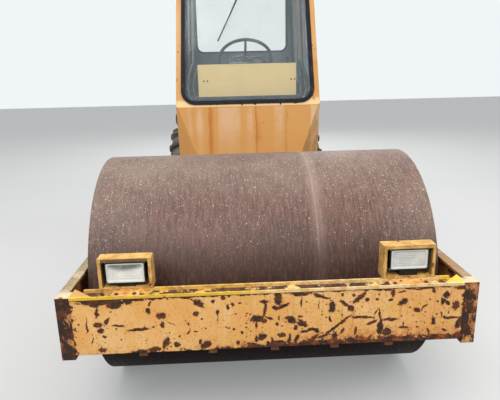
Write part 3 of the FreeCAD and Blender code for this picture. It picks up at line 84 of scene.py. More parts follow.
class RollerColours(bpy.types.PropertyGroup):
    """Colours of the roller's finishes."""

    beam_paint: tint("Beam paint", "Sun-bleached paint of the front beam's face", 244, 178, 98)
    lip_paint: tint("Lip paint", "Fresh yellow on the frame's upward edges", 238, 192, 52)
    cream_paint: tint("Cream paint", "Chalky paint on the side beams' tops", 170, 150, 114)
    cab_paint: tint("Cab paint", "Orange yellow of the cab's skin", 218, 152, 74)
    cab_faded: tint("Faded cab paint", "Pinkish chalked patches of the cab's skin", 216, 168, 118)
    hood_paint: tint("Hood paint", "Yellow of hood, tanks and rear block", 208, 142, 52)
    rust: tint("Rust", "Brown rust under the paint", 84, 50, 34)
    rust_halo: tint("Rust halo", "Orange stain round a rust spot", 186, 98, 42)
    drum_oxide: tint("Drum oxide", "Mauve-brown skin of the steel drum", 82, 52, 44)
    dust: tint("Dust", "Pale stone dust", 176, 166, 150)
    dirt: tint("Dirt", "Dark oily dirt", 46, 40, 34)
    dark_steel: tint("Dark steel", "Bare and painted steel under the machine", 62, 58, 54)
    bright_steel: tint("Bright steel", "Plated fasteners and ground steel", 164, 160, 152)
    tyre: tint("Tyre rubber", "Weathered tyre rubber", 48, 47, 46)
    rubber: tint("Rubber", "Black window rubber", 24, 24, 30)
    plastic: tint("Plastic", "Dark grey moulded plastic", 58, 62, 66)
    lining: tint("Lining", "Grey inner skin of the cab", 116, 122, 127)
    vinyl: tint("Vinyl", "Black seat cover", 40, 41, 44)
    plywood: tint("Plywood", "Pale birch plywood", 255, 226, 158)
    engine: tint("Engine paint", "Grey-green engine paint", 92, 104, 98)
    rim: tint("Rim paint", "Paint of the wheel rims", 206, 144, 54)
    lamp_bezel: tint("Lamp bezel", "Pale plastic frame of the headlamps", 226, 228, 222)


class RollerSizes(bpy.types.PropertyGroup):
    """Sizes of what is added to the frame."""

    drum_edge: length("Drum edge", "Rounding of the drum's rims", 0.004)
    grip: length("Steering rim", "Thickness of the steering wheel's rim", 0.026)
    pad_shrink: length("Pad allowance", "How much smaller a pad starts before it swells", 0.012)
    pad_swell: length("Pad swell", "How far a point of a pad may move as it swells", 0.024)
    bolt: length("Frame bolt", "Width across the head of the frame's bolts", 0.03)
    flute: length("Lens flute", "Pitch of the headlamp lens's flutes", 0.011)


def colours():
    return bpy.context.scene.roller_colours


def sizes():
    return bpy.context.scene.roller_sizes


# Modelling


def clear():
    """Back in object mode with nothing selected."""
    if bpy.context.object and bpy.context.object.mode != "OBJECT":
        bpy.ops.object.mode_set(mode="OBJECT")
    bpy.ops.object.select_all(action="DESELECT")


def activate(piece):
    clear()
    piece.select_set(True)
    bpy.context.view_layer.objects.active = piece


def settle(piece, name=None):
    """Puts the piece's place into its mesh, so that its object sits at the origin."""
    activate(piece)
    bpy.ops.object.transform_apply(location=True, rotation=True, scale=True)
    if name:
        piece.name = name
        piece.data.name = name
    return piece


def block(name, low, high):
    """A box between two corners."""
    low, high = Vector(low), Vector(high)
    clear()
    bpy.ops.mesh.primitive_cube_add(size=1, location=(low + high) / 2, scale=high - low)
    return settle(bpy.context.object, name)


def rod(name, radius, start, end, sides=24, tip_radius=None):
    """A round bar, or a cone with tip_radius, from start to end."""
    start, end = Vector(start), Vector(end)
    turn = (end - start).to_track_quat("Z", "Y").to_euler()
    clear()
    bpy.ops.mesh.primitive_cone_add(
        vertices=sides, radius1=radius, radius2=radius if tip_radius is None else tip_radius,
        depth=(end - start).length, location=(start + end) / 2, rotation=turn,
    )
    return settle(bpy.context.object, name)


def pick(piece, test, kind="FACE"):
    """Goes into edit mode with the faces or edges selected whose middle and normal pass the test."""
    activate(piece)
    bpy.ops.object.mode_set(mode="EDIT")
    bpy.ops.mesh.select_mode(type=kind)
    bpy.ops.mesh.select_all(action="DESELECT")
    mesh = bmesh.from_edit_mesh(piece.data)
    if kind == "FACE":
        for face in mesh.faces:
            face.select_set(bool(test(face.calc_center_median(), face.normal)))
    else:
        for edge in mesh.edges:
            a, b = (v.co for v in edge.verts)
            edge.select_set(bool(test((a + b) / 2, (b - a).normalized())))
    mesh.select_flush_mode()
    bmesh.update_edit_mesh(piece.data)


def everything(middle, normal):
    return True


def looks(axis, way=0):
    """A test for faces that look along an axis, one way or both ways, or for edges that run along it."""
    def test(middle, normal):
        return (normal[axis] * way if way else abs(normal[axis])) > 0.9
    return test


ALONG_X, ALONG_Y, ALONG_Z = looks(0), looks(1), looks(2)
RIGHT, FRONT, REAR, UP, DOWN = looks(0, 1), looks(1, -1), looks(1, 1), looks(2, 1), looks(2, -1)


def edit(piece, test, operation, **settings):
    """Runs one edit-mode operation on the faces that pass the test."""
    pick(piece, test)
    operation(**settings)
    clear()


def inset(piece, test, width, depth=0.0):
    pick(piece, test)
    bpy.ops.mesh.inset(thickness=width, depth=depth)
    clear()


def bevel(piece, test, width, segments=2):
    pick(piece, test, "EDGE")
    bpy.ops.mesh.bevel(offset=width, segments=segments, affect="EDGES")
    clear()


def cleaned(piece):
    """Doubles merged and faces turned outwards."""
    pick(piece, everything)
    bpy.ops.mesh.select_all(action="SELECT")
    bpy.ops.mesh.remove_doubles(threshold=1e-5)
    bpy.ops.mesh.normals_make_consistent(inside=False)
    clear()
    return piece


def finished(piece, kind, **settings):
    """Adds one modifier with these settings and applies it."""
    activate(piece)
    modifier = piece.modifiers.new(kind.title(), kind)
    for key, value in settings.items():
        setattr(modifier, key, value)
    bpy.ops.object.modifier_apply(modifier=modifier.name)
    return piece


def rounded(piece, width, segments=2, angle=40):
    """All edges sharper than an angle rounded off."""
    return finished(
        piece, "BEVEL", width=width, segments=segments, limit_method="ANGLE", angle_limit=math.radians(angle),
        harden_normals=False,
    )


def smooth(piece, angle=35):
    activate(piece)
    bpy.ops.object.shade_smooth_by_angle(angle=math.radians(angle))
    return piece


def cut(piece, tool):
    """Takes the tool's shape out of the piece and removes the tool."""
    finished(piece, "BOOLEAN", operation="DIFFERENCE", object=tool, solver="EXACT")
    bpy.data.objects.remove(tool)
    return piece


def join(pieces, name):
    clear()
    for piece in pieces:
        piece.select_set(True)
    bpy.context.view_layer.objects.active = pieces[0]
    if len(pieces) > 1:
        bpy.ops.object.join()
    pieces[0].name = name
    pieces[0].data.name = name
    return pieces[0]


def copies(piece, name, moves):
    """One piece made of a copy of this one at each move, each with its own mesh."""
    pieces = []
    for move in moves:
        copy = piece.copy()
        copy.data = piece.data.copy()
        copy.data.transform(move)
        if move.determinant() < 0:
            copy.data.flip_normals()
        bpy.context.scene.collection.objects.link(copy)
        pieces.append(copy)
    bpy.data.objects.remove(piece)
    return join(pieces, name)


def spaced(step, count):
    """Moves in a row, each one step further."""
    return [Matrix.Translation([i * along for along in step]) for i in range(count)]


def facing(point, way, spin=0.0):
    """The move that stands a piece made along +Z at a point, along another way."""
    turn = Vector(way).to_track_quat("Z", "Y").to_matrix().to_4x4()
    return Matrix.Translation(Vector(point)) @ turn @ Matrix.Rotation(spin, 4, "Z")


def mirrored(piece, name):
    """The piece with its mirror image across the machine's middle."""
    return copies(piece, name, [Matrix.Identity(4), Matrix.Diagonal((-1, 1, 1, 1))])


def hexagon(width, height):
    """A hex bolt head on its washer, standing on the origin along +Z."""
    washer = rod("washer", width * 0.76, (0, 0, -0.002), (0, 0, height * 0.2), 20)
    head = rod("head", width * 0.577, (0, 0, height * 0.15), (0, 0, height * 0.92), 6)
    inset(head, UP, width * 0.07, height * 0.08)
    return join([washer, head], "bolt")


def bolts(name, body, width, height, places, maker=None):
    """Hex bolts as one piece, each at a point and facing a way."""
    moves = [facing(point, way, 0.4 * i) for i, (point, way) in enumerate(places)]
    heads = smooth(copies(hexagon(width, height), name, moves), 30)
    return wear(heads, body, "bright_steel", maker or bright_steel)


def ring(centre, axis, radius, count, start=0.0):
    """Points spread evenly round an axis, each facing along it."""
    axis = Vector(axis)
    out = axis.orthogonal().normalized() * radius
    turns = (Matrix.Rotation(start + 2 * math.pi * i / count, 3, axis) for i in range(count))
    return [(Vector(centre) + turn @ out, axis) for turn in turns]


def bar(name, radius, points, sides=12):
    """A bent round bar through these points, as a curve made a mesh."""
    clear()
    line = bpy.data.curves.new(name, "CURVE")
    line.dimensions = "3D"
    line.bevel_depth = radius
    line.bevel_resolution = max(2, sides // 4)
    line.use_fill_caps = True
    spline = line.splines.new("NURBS")
    spline.points.add(len(points) - 1)
    for point, place in zip(spline.points, points):
        point.co = (*place, 1)
    spline.order_u = 3
    spline.use_endpoint_u = True
    piece = bpy.data.objects.new(name, line)
    bpy.context.scene.collection.objects.link(piece)
    activate(piece)
    bpy.ops.object.convert(target="MESH")
    return smooth(bpy.context.object, 50)


def lathe(name, outline, base, axis, steps=64):
    """A turned piece: an outline of (along, radius) pairs drawn by extruding a point, then spun round the axis."""
    base, axis = Vector(base), Vector(axis).normalized()
    out = axis.orthogonal().normalized()
    points = [base + axis * along + out * radius for along, radius in outline]
    clear()
    bpy.ops.mesh.primitive_plane_add(size=0.001, location=points[0])
    piece = bpy.context.object
    bpy.ops.object.mode_set(mode="EDIT")
    bpy.ops.mesh.select_mode(type="VERT")
    bpy.ops.mesh.select_all(action="SELECT")
    bpy.ops.mesh.merge(type="CENTER")
    for before, after in zip(points, points[1:]):
        bpy.ops.mesh.extrude_vertices_move(TRANSFORM_OT_translate={"value": after - before})
    bpy.ops.mesh.select_all(action="SELECT")
    bpy.ops.mesh.spin(steps=steps, angle=2 * math.pi, center=base, axis=axis)
    clear()
    return cleaned(settle(piece, name))


def copied(node, name):
    """A free copy of one of the frame's nodes, with its own mesh."""
    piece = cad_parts[node].copy()
    piece.data = piece.data.copy()
    piece.parent = None
    for key in list(piece.keys()):
        del piece[key]
    bpy.context.scene.collection.objects.link(piece)
    piece.name = name
    return cleaned(piece)


def wear(piece, body, slot, maker, *nodes):
    """Gives a finished piece its material and body, and hides the nodes that it stands for; its slot argument is not
    used.
    """
    piece.data.materials.clear()
    piece.data.materials.append(finish(maker))
    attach(piece, body)
    if nodes:
        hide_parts(*nodes)
    return piece


# Materials


class Recipe:
    """A node material; each method adds a node and hands back its output."""

    def __init__(self, name, **constants):
        self.material = bpy.data.materials.new(name)
        self.material.use_nodes = True
        self.nodes = self.material.node_tree.nodes
        self.links = self.material.node_tree.links
        self.shader = self.nodes["Principled BSDF"]
        for key, value in constants.items():
            self.shader.inputs[key.replace("_", " ").title().replace("Ior", "IOR")].default_value = value
        coordinates = self.nodes.new("ShaderNodeTexCoord")
        self.place = coordinates.outputs["Object"]
        self.normal = coordinates.outputs["Normal"]
        self.x, self.y, self.z = self.split(self.place)

    def feed(self, socket, value):
        if isinstance(value, bpy.types.NodeSocket):
            self.links.new(value, socket)
        else:
            socket.default_value = value

    def node(self, kind, inputs, **settings):
        node = self.nodes.new("ShaderNode" + kind)
        for key, value in settings.items():
            setattr(node, key, value)
        for key, value in inputs.items():
            self.feed(node.inputs[key], value)
        return node

    def math(self, operation, a, b=0.0, c=0.0, clamp=False):
        return self.node("Math", {0: a, 1: b, 2: c}, operation=operation, use_clamp=clamp).outputs[0]

    def plus(self, a, b, clamp=False):
        return self.math("ADD", a, b, clamp=clamp)

    def minus(self, a, b):
        return self.math("SUBTRACT", a, b)

    def scaled(self, value, factor, start):
        return self.math("MULTIPLY_ADD", value, factor, start)

    def absolute(self, value):
        return self.math("ABSOLUTE", value)

    def ramp(self, value, start, end, low=0.0, high=1.0):
        """Smooth step of a value from start to end."""
        inputs = {"Value": value, "From Min": start, "From Max": end, "To Min": low, "To Max": high}
        return self.node("MapRange", inputs, interpolation_type="SMOOTHSTEP").outputs[0]

    def mix(self, factor, a, b):
        return self.node("Mix", {0: factor, 6: a, 7: b}, data_type="RGBA").outputs[2]

    def laid(self, base, colour, value, start, end, share=1.0):
        """A colour laid over the base as a value runs from start to end."""
        return self.mix(self.ramp(value, start, end, 0.0, share), base, colour)

    def vector(self, operation, a, b, output=0):
        return self.node("VectorMath", {0: a, 1: b}, operation=operation).outputs[output]

    def split(self, vector):
        return self.node("SeparateXYZ", {0: vector}).outputs

    def stretched(self, x, y, z, start=None):
        return self.vector("MULTIPLY", start or self.place, (x, y, z))

    def noise(self, scale, detail=3.0, roughness=0.55, place=None, colour=False, shift=0.0):
        inputs = {"Scale": scale, "Detail": detail, "Roughness": roughness, "W": shift, "Vector": place or self.place}
        node = self.node("TexNoise", inputs, noise_dimensions="4D")
        return node.outputs["Color" if colour else "Fac"]

    def cells(self, scale, place=None, output="Distance"):
        return self.node("TexVoronoi", {"Scale": scale, "Vector": place or self.place}).outputs[output]

    def both(self, a, b):
        return self.math("MULTIPLY", a, b)

    def either(self, a, b):
        return self.math("MAXIMUM", a, b)

    def shaken(self, amount, scale, detail=3.0, roughness=0.55):
        """The object's coordinates, pushed about by noise."""
        push = self.noise(scale, detail, roughness, colour=True)
        push = self.vector("SUBTRACT", push, (0.5, 0.5, 0.5))
        return self.vector("ADD", self.place, self.vector("MULTIPLY", push, (amount, amount, amount)))

    def blots(self, place, table):
        """Nearness to the closest of a table of blots on a face that looks along Y: 0 in its middle, 1 at its rim."""
        nearest = None
        for x, z, half_length, half_width, tilt in table:
            inputs = {
                "Vector": place, "Location": (x / 1000, 0, z / 1000), "Rotation": (0, -math.radians(tilt), 0),
                "Scale": (half_length / 1000, 1000, half_width / 1000),
            }
            local = self.node("Mapping", inputs, vector_type="TEXTURE").outputs[0]
            far = self.node("VectorMath", {0: local}, operation="LENGTH").outputs["Value"]
            nearest = far if nearest is None else self.math("MINIMUM", nearest, far)
            drift = self.node("VectorMath", {0: nearest, 1: (1e-9, 0, 1e-9), 2: place}, operation="MULTIPLY_ADD")
            place = drift.outputs[0]
        return nearest

    def edges(self, radius):
        """How near a point lies to a sharp edge, and the normal that rounds that edge off."""
        soft = self.node("Bevel", {"Radius": radius}, samples=4).outputs[0]
        true = self.node("NewGeometry", {}).outputs["Normal"]
        same = self.vector("DOT_PRODUCT", soft, true, 1)
        return self.ramp(same, 0.999, 0.85), soft

    def bump(self, height, distance, normal=None, strength=1.0):
        inputs = {"Height": height, "Distance": distance, "Strength": strength}
        if normal:
            inputs["Normal"] = normal
        return self.node("Bump", inputs).outputs[0]

    def done(self, colour, roughness=None, normal=None, **others):
        self.feed(self.shader.inputs["Base Color"], colour)
        if roughness is not None:
            self.feed(self.shader.inputs["Roughness"], roughness)
        if normal is not None:
            self.feed(self.shader.inputs["Normal"], normal)
        for key, value in others.items():
            self.feed(self.shader.inputs[key.title()], value)
        return self.material


made = {}


def finish(maker):
    """The material that a maker function gives, made once."""
    if maker not in made:
        made[maker] = maker()
    return made[maker]


def chipped(recipe, paint, chip_scale=12.0, amount=0.0, edge=0.006, gloss=0.5, extra=None, halo=0.08):
    """Paint with rust spots, stained rims and bare worn edges; returns what recipe.done takes."""
    c = colours()
    near_edge, soft = recipe.edges(edge)
    spots = recipe.noise(chip_scale, 8, 0.62)
    level = recipe.scaled(near_edge, 0.2, recipe.plus(spots, amount))
    if extra is not None:
        level = recipe.plus(level, extra)
    bare = recipe.ramp(level, 0.665, 0.685)
    stained = recipe.ramp(level, 0.665 - halo, 0.68)
    rust = recipe.mix(recipe.noise(90, 4), c.rust, c.dirt)
    colour = recipe.mix(recipe.both(stained, 0.55), paint, c.rust_halo)
    colour = recipe.mix(bare, colour, rust)
    grain = recipe.noise(260, 2)
    rough = recipe.ramp(bare, 0, 1, gloss, 0.88)
    height = recipe.scaled(grain, recipe.ramp(bare, 0, 1, 0.05, 0.45), recipe.both(bare, -0.6))
    return colour, rough, recipe.bump(height, 0.0012, soft)


def faded(recipe, paint, pale, scale=2.2, share=0.55):
    """Paint that chalks towards a paler colour in broad patches."""
    broad = recipe.noise(scale, 4, 0.6)
    return recipe.laid(paint, pale, broad, 0.38, 0.66, share)


FACE_BLOTS = [
    # x, z, half length, half width in millimetres, tilt in degrees
    (-698, 748, 99, 12, -2), (-739, 738, 23, 12, -18), (-660, 732, 31, 11, 2), (-773, 749, 23, 9, -18),
    (-607, 748, 27, 7, 5), (-559, 755, 34, 5, 0), (-732, 699, 23, 7, 77), (-728, 646, 17, 13, -3),
    (-694, 660, 20, 7, 59), (-725, 618, 12, 12, -3), (-779, 639, 36, 3, 87), (-710, 591, 10, 9, -3),
    (-649, 640, 25, 5, 1), (-560, 619, 43, 7, 5), (-518, 703, 16, 9, 87), (-509, 740, 12, 5, 77),
    (-462, 678, 20, 14, -3), (-460, 636, 14, 9, 87), (-424, 640, 19, 2, -33), (-315, 680, 14, 10, 5),
    (-724, 529, 16, 10, 2), (-562, 513, 35, 9, 3), (-504, 521, 25, 11, 5), (-453, 548, 25, 12, 67),
    (-405, 539, 12, 10, -3), (-762, 574, 12, 3, 87), (-392, 575, 7, 4, 57), (-352, 596, 12, 5, 52),
    (-322, 598, 8, 4, -3), (-351, 629, 8, 4, -48), (-302, 726, 25, 13, -45), (-330, 745, 15, 3, -15),
    (-243, 734, 8, 8, -3), (-202, 752, 10, 11, -3), (-181, 707, 7, 10, -3), (-159, 717, 9, 5, 87),
    (-130, 723, 6, 5, -3), (-224, 685, 7, 8, 57), (-226, 658, 29, 2, 87), (-149, 672, 5, 4, -3),
    (-100, 674, 4, 4, -3), (-27, 725, 20, 7, 3), (-22, 693, 34, 7, 84), (-59, 645, 31, 16, 5), (-59, 614, 14, 6, 87),
    (-28, 634, 11, 11, -3), (-1, 645, 12, 7, -18), (34, 742, 32, 17, 87), (22, 694, 14, 9, -3), (50, 697, 30, 7, 25),
    (38, 646, 12, 3, 87), (25, 619, 9, 7, 17), (86, 633, 23, 15, -19), (111, 596, 9, 10, -3), (137, 614, 24, 12, -21),
    (126, 645, 9, 6, -3), (126, 753, 42, 8, -3), (131, 718, 21, 4, 87), (206, 742, 25, 8, -25), (238, 732, 19, 3, -3),
    (206, 699, 17, 2, 87), (264, 687, 25, 14, 87), (257, 629, 11, 5, 102), (147, 577, 19, 5, 9), (179, 585, 23, 6, 1),
    (199, 580, 14, 8, -23), (268, 580, 44, 7, 40), (231, 548, 29, 7, 19), (-282, 533, 25, 15, 29),
    (-304, 548, 14, 5, 87), (-144, 533, 8, 11, -3), (-124, 585, 7, 6, 42), (-159, 597, 7, 5, -3),
    (-180, 607, 6, 4, -3), (-322, 598, 9, 3, -3), (-36, 558, 17, 14, 17), (-61, 549, 15, 7, 87),
    (47, 561, 15, 10, -3), (7, 539, 15, 5, 87), (24, 525, 30, 13, -3), (-11, 531, 7, 9, -3), (81, 542, 24, 6, 87),
    (111, 544, 19, 7, 57), (189, 546, 23, 10, 39), (277, 547, 15, 7, 67), (307, 744, 8, 6, 87), (357, 737, 8, 8, -3),
    (380, 725, 37, 10, 45), (413, 713, 9, 10, -3), (458, 711, 7, 5, -3), (317, 703, 21, 8, -33),
    (347, 675, 21, 11, -58), (402, 633, 48, 6, -2), (302, 608, 56, 6, 38), (456, 657, 15, 3, 55),
    (473, 641, 22, 5, 97), (521, 615, 33, 7, -1), (441, 606, 26, 6, 21), (477, 581, 43, 11, 89),
    (506, 557, 18, 20, -3), (522, 529, 48, 7, -1), (524, 744, 22, 8, 89), (517, 712, 9, 5, 2), (573, 696, 20, 11, 39),
    (635, 657, 13, 10, -3), (668, 676, 9, 4, 42), (658, 659, 12, 3, 69), (759, 723, 15, 13, -3),
    (747, 691, 15, 9, 87), (767, 683, 11, 9, -33), (806, 670, 17, 18, -3), (746, 627, 13, 4, 97),
    (787, 612, 35, 6, -1), (824, 587, 30, 11, 69), (711, 597, 17, 8, 87), (580, 574, 24, 5, -7), (578, 589, 9, 4, 87),
    (639, 576, 7, 4, -3), (691, 555, 14, 5, 97), (760, 555, 12, 6, -33), (704, 745, 10, 8, -3), (653, 755, 53, 4, 0),
    (567, 744, 18, 4, 0), (367, 567, 18, 6, 92), (310, 572, 14, 6, 57), (279, 550, 12, 10, -3), (406, 514, 38, 7, 2),
    (448, 520, 29, 5, -3), (554, 527, 24, 5, -3), (844, 634, 136, 10, 88), (818, 751, 29, 5, -6),
]


def rust_colour(recipe, red=0.35):
    """Rust from black-brown to red-brown; red is the share of red-brown."""
    parts = recipe.ramp(recipe.noise(22, 6, 0.7, shift=7.0), 0.62 - red * 0.5, 0.72 - red * 0.4)
    grain = recipe.ramp(recipe.noise(240, 3, 0.6), 0.35, 0.7)
    dark = recipe.mix(grain, rgb(40, 26, 20), rgb(66, 43, 30))
    return recipe.mix(parts, dark, recipe.mix(grain, rgb(84, 44, 24), rgb(118, 68, 36)))


def pits(recipe, scale, chance, size):
    """Small round rust pits: one in some of the cells of this scale, ragged at the rim."""
    place = recipe.shaken(0.5 / scale, scale * 1.6)
    luck = recipe.split(recipe.cells(scale, place, "Color"))[0]
    there = recipe.math("GREATER_THAN", luck, chance)
    grown = recipe.scaled(luck, size, -0.35 * size)
    return recipe.both(recipe.math("LESS_THAN", recipe.cells(scale, place), grown), there)


def front_beam_paint():
    """Bleached paint with ragged rust, pitted and eaten away below, yellow turning cream on its upper lip."""
    r = Recipe("front_beam_paint")
    c = colours()
    near_edge, soft = r.edges(0.004)
    up = r.split(r.normal)[2]
    upright = r.ramp(up, 0.5, 0.2)
    right = r.ramp(r.x, -0.55, 0.65)
    face = r.laid(c.beam_paint, rgb(252, 200, 128), r.noise(5, 5, 0.65), 0.36, 0.66)
    face = r.laid(face, rgb(238, 184, 84), r.noise(9, 5, 0.7, shift=2.0), 0.52, 0.66, 0.55)
    drips = r.noise(1, 4, 0.6, r.stretched(46, 1, 4), shift=4.0)
    face = r.laid(face, rgb(253, 216, 164), drips, 0.52, 0.7, 0.4)
    runs = r.noise(1, 4, 0.6, r.stretched(80, 1, 5), shift=6.0)
    face = r.laid(face, rgb(206, 122, 58), runs, 0.57, 0.7, r.ramp(right, 0, 1, 0.2, 0.5))
    fine = r.noise(120, 5, 0.75)
    face = r.laid(face, rgb(190, 112, 50), fine, 0.52, 0.66, r.ramp(right, 0, 1, 0.4, 0.62))
    low_half = r.both(r.ramp(r.z, 0.66, 0.52), r.ramp(r.noise(150, 4, 0.7, shift=19.0), 0.54, 0.62))
    face = r.mix(r.both(low_half, r.ramp(right, 0, 1, 0.35, 0.75)), face, rgb(178, 84, 32))
    cream = r.ramp(r.plus(right, r.noise(7, 4, 0.6, shift=1.0)), 0.7, 1.25)
    lip = r.mix(cream, c.lip_paint, rgb(248, 216, 158))
    lip = r.laid(lip, rgb(226, 170, 92), r.noise(20, 6, 0.75, shift=8.0), 0.46, 0.6, 0.75)
    inner = r.ramp(r.y, -2.368, -2.36)
    ridge = r.mix(cream, rgb(228, 182, 84), rgb(234, 198, 132))
    ridge = r.laid(ridge, rgb(170, 122, 66), r.noise(30, 6, 0.75, shift=3.0), 0.46, 0.6, 0.75)
    gusset = r.ramp(r.absolute(r.x), 0.744, 0.75)
    bleached = r.plus(r.noise(24, 6, 0.7), r.ramp(right, 0, 1, 0.12, -0.06))
    ridge = r.mix(gusset, ridge, r.laid(rgb(240, 198, 60), rgb(206, 156, 84), bleached, 0.4, 0.62))
    above = r.either(r.ramp(up, 0.4, 0.7), r.ramp(r.z, BEAM_TOP - 0.0005, BEAM_TOP + 0.0005))
    paint = r.mix(above, face, r.mix(inner, lip, ridge))
    frayed = r.scaled(r.noise(64, 7, 0.8, shift=17.0), 2.6, -1.3)
    near = r.plus(r.blots(r.shaken(0.034, 30, 6, 0.7), FACE_BLOTS), frayed)
    on_face = r.both(upright, r.ramp(r.z, BEAM_TOP + 0.0005, BEAM_TOP - 0.0005))
    marks = r.both(r.ramp(near, 1.12, 1.02), on_face)
    ragged = r.noise(34, 8, 0.75, shift=5.0)
    eaten = r.minus(r.scaled(ragged, 0.15, 0.441), r.z)
    eaten = r.plus(eaten, r.ramp(r.x, -0.75, 0.35, -0.02, 0.022))
    low = r.both(r.ramp(eaten, 0.0, 0.003), upright)
    fringe = r.minus(r.z, r.scaled(r.noise(30, 8, 0.7, shift=11.0), -0.06, 0.786))
    fringe = r.both(r.ramp(fringe, 0.0, 0.002), on_face)
    depth = r.plus(r.ramp(r.z, 0.76, 0.53), right)
    small = r.both(pits(r, 58, r.ramp(depth, 0.3, 1.9, 0.93, 0.62), 0.42), on_face)
    tiny = r.both(pits(r, 125, r.ramp(depth, 0.1, 1.8, 0.9, 0.45), 0.4), on_face)
    flat = r.minus(1.0, upright)
    groove = r.both(r.ramp(r.z, 0.7745, 0.772), r.both(flat, r.ramp(r.noise(16, 7, 0.7, shift=9.0), 0.44, 0.5)))
    chips = r.both(above, r.ramp(r.scaled(near_edge, 0.12, r.noise(30, 8, 0.7, shift=13.0)), 0.62, 0.64))
    ends = r.both(r.ramp(r.absolute(r.x), 0.8, 0.842, 0, 0.16), upright)
    corner = r.ramp(r.plus(ends, r.noise(24, 8, 0.7, shift=15.0)), 0.66, 0.68)
    bare = r.either(marks, low)
    for part in (fringe, small, tiny, groove, chips, corner):
        bare = r.either(bare, part)
    stain = r.both(r.ramp(near, 1.75, 1.05), on_face)
    stain = r.either(stain, r.both(r.ramp(eaten, r.ramp(right, 0, 1, -0.025, -0.055), 0.0), upright))
    stain = r.both(stain, r.ramp(r.noise(60, 5, 0.7, shift=12.0), 0.36, 0.62))
    colour = r.mix(r.both(stain, 0.75), paint, r.mix(right, rgb(214, 138, 62), rgb(204, 108, 48)))
    fresh = r.both(r.both(low, right), r.ramp(r.noise(44, 6, 0.75, shift=21.0), 0.5, 0.6))
    colour = r.mix(bare, colour, r.mix(fresh, rust_colour(r, 0.36), rgb(176, 84, 34)))
    relief = r.plus(r.both(r.either(small, tiny), -0.5), r.both(fine, 0.5))
    relief = r.minus(relief, r.both(r.either(low, fringe), 0.7))
    return r.done(colour, r.ramp(bare, 0, 1, 0.6, 0.92), r.bump(relief, 0.0012, soft))


def frame_paint():
    """Worn ochre paint of the lamp guards and crossbeam, darkened inside the guards as painted shade, pale along the
    edges.
    """
    r = Recipe("frame_paint")
    near_edge, _ = r.edges(0.003)
    paint = r.laid(rgb(192, 142, 66), rgb(224, 182, 104), r.noise(14, 5, 0.65), 0.38, 0.62)
    paint = r.mix(r.both(near_edge, 0.65), paint, rgb(246, 222, 168))
    guard = r.both(r.ramp(r.y, -1.8, -2.0), r.ramp(r.z, 0.9155, 0.9145))
    within = r.ramp(r.absolute(r.minus(r.absolute(r.x), LAMP_X)), 0.1, 0.0985)
    inside = r.both(r.both(guard, within), r.ramp(r.z, 0.788, 0.7885))
    # Painted shade: the inner walls of the lamp guards are darkened.
    paint = r.mix(r.both(inside, 0.85), paint, rgb(70, 54, 40))
    lip = r.both(r.ramp(r.z, 0.9148, 0.9156), r.ramp(r.y, -2.33, -2.35))
    streak = r.ramp(r.noise(1, 7, 0.75, r.stretched(11, 45, 60), shift=23.0), 0.46, 0.6)
    return r.done(*chipped(r, paint, 22, 0.045, 0.006, 0.65, r.both(r.both(lip, streak), 0.17)))


def post_paint():
    """Corner posts, mostly rusted through, with remains of paint."""
    r = Recipe("post_paint")
    up = r.split(r.normal)[2]
    left = r.mix(r.noise(30, 5, 0.7), rgb(206, 142, 66), rgb(236, 186, 116))
    paint = r.laid(left, rgb(236, 216, 176), up, 0.4, 0.8)
    _, soft = r.edges(0.006)
    ragged = r.noise(1, 8, 0.72, r.stretched(22, 22, 13))
    outer = r.ramp(r.x, 0.864, 0.872)
    mottled = r.scaled(r.noise(70, 6, 0.7, shift=3.0), 0.3, -0.175)
    eaten = r.scaled(outer, mottled, r.scaled(r.ramp(up, 0.4, 0.8), -0.14, ragged))
    bare = r.ramp(eaten, 0.445, 0.46)
    stain = r.both(r.ramp(ragged, 0.36, 0.45), r.ramp(up, 0.4, 0.8, 0.8, 0.25))
    colour = r.mix(bare, r.mix(stain, paint, rgb(178, 104, 54)), rust_colour(r, 0.3))
    return r.done(colour, r.ramp(bare, 0, 1, 0.65, 0.92), r.bump(r.both(bare, -0.6), 0.0012, soft))


def side_beam_paint():
    """Chalky cream on the top flange, rusty ochre inside darkened with painted shade, worn yellow outside."""
    r = Recipe("side_beam_paint")
    c = colours()
    up = r.split(r.normal)[2]
    inside = r.both(r.ramp(r.absolute(r.x), 0.8885, 0.8875), r.ramp(up, 0.6, 0.4))
    cream = r.laid(c.cream_paint, rgb(198, 182, 148), r.noise(8, 5, 0.6), 0.4, 0.66)
    cream = r.laid(cream, rgb(128, 96, 62), r.noise(34, 5, 0.7, shift=3.0), 0.5, 0.62, 0.6)
    cream = r.laid(cream, rgb(158, 108, 66), r.x, 0.2, 0.6, r.ramp(r.noise(12, 5, 0.7, shift=5.0), 0.4, 0.6, 0.25, 0.8))
    outer = faded(r, c.beam_paint, c.hood_paint, 3)
    streaks = r.noise(1, 4, 0.6, r.stretched(40, 40, 4))
    outer = r.laid(outer, c.rust_halo, streaks, 0.5, 0.72, 0.45)
    # Painted shade: the inner faces are a darker ochre; the extra chips there are rust.
    ochre = r.laid(rgb(176, 126, 62), rgb(142, 92, 50), streaks, 0.4, 0.65)
    paint = r.laid(r.mix(inside, outer, ochre), cream, up, 0.4, 0.8)
    extra = r.plus(r.both(inside, 0.09), r.ramp(r.z, 0.56, 0.4, 0, 0.05))
    return r.done(*chipped(r, paint, 15, 0.005, 0.008, 0.7, extra))


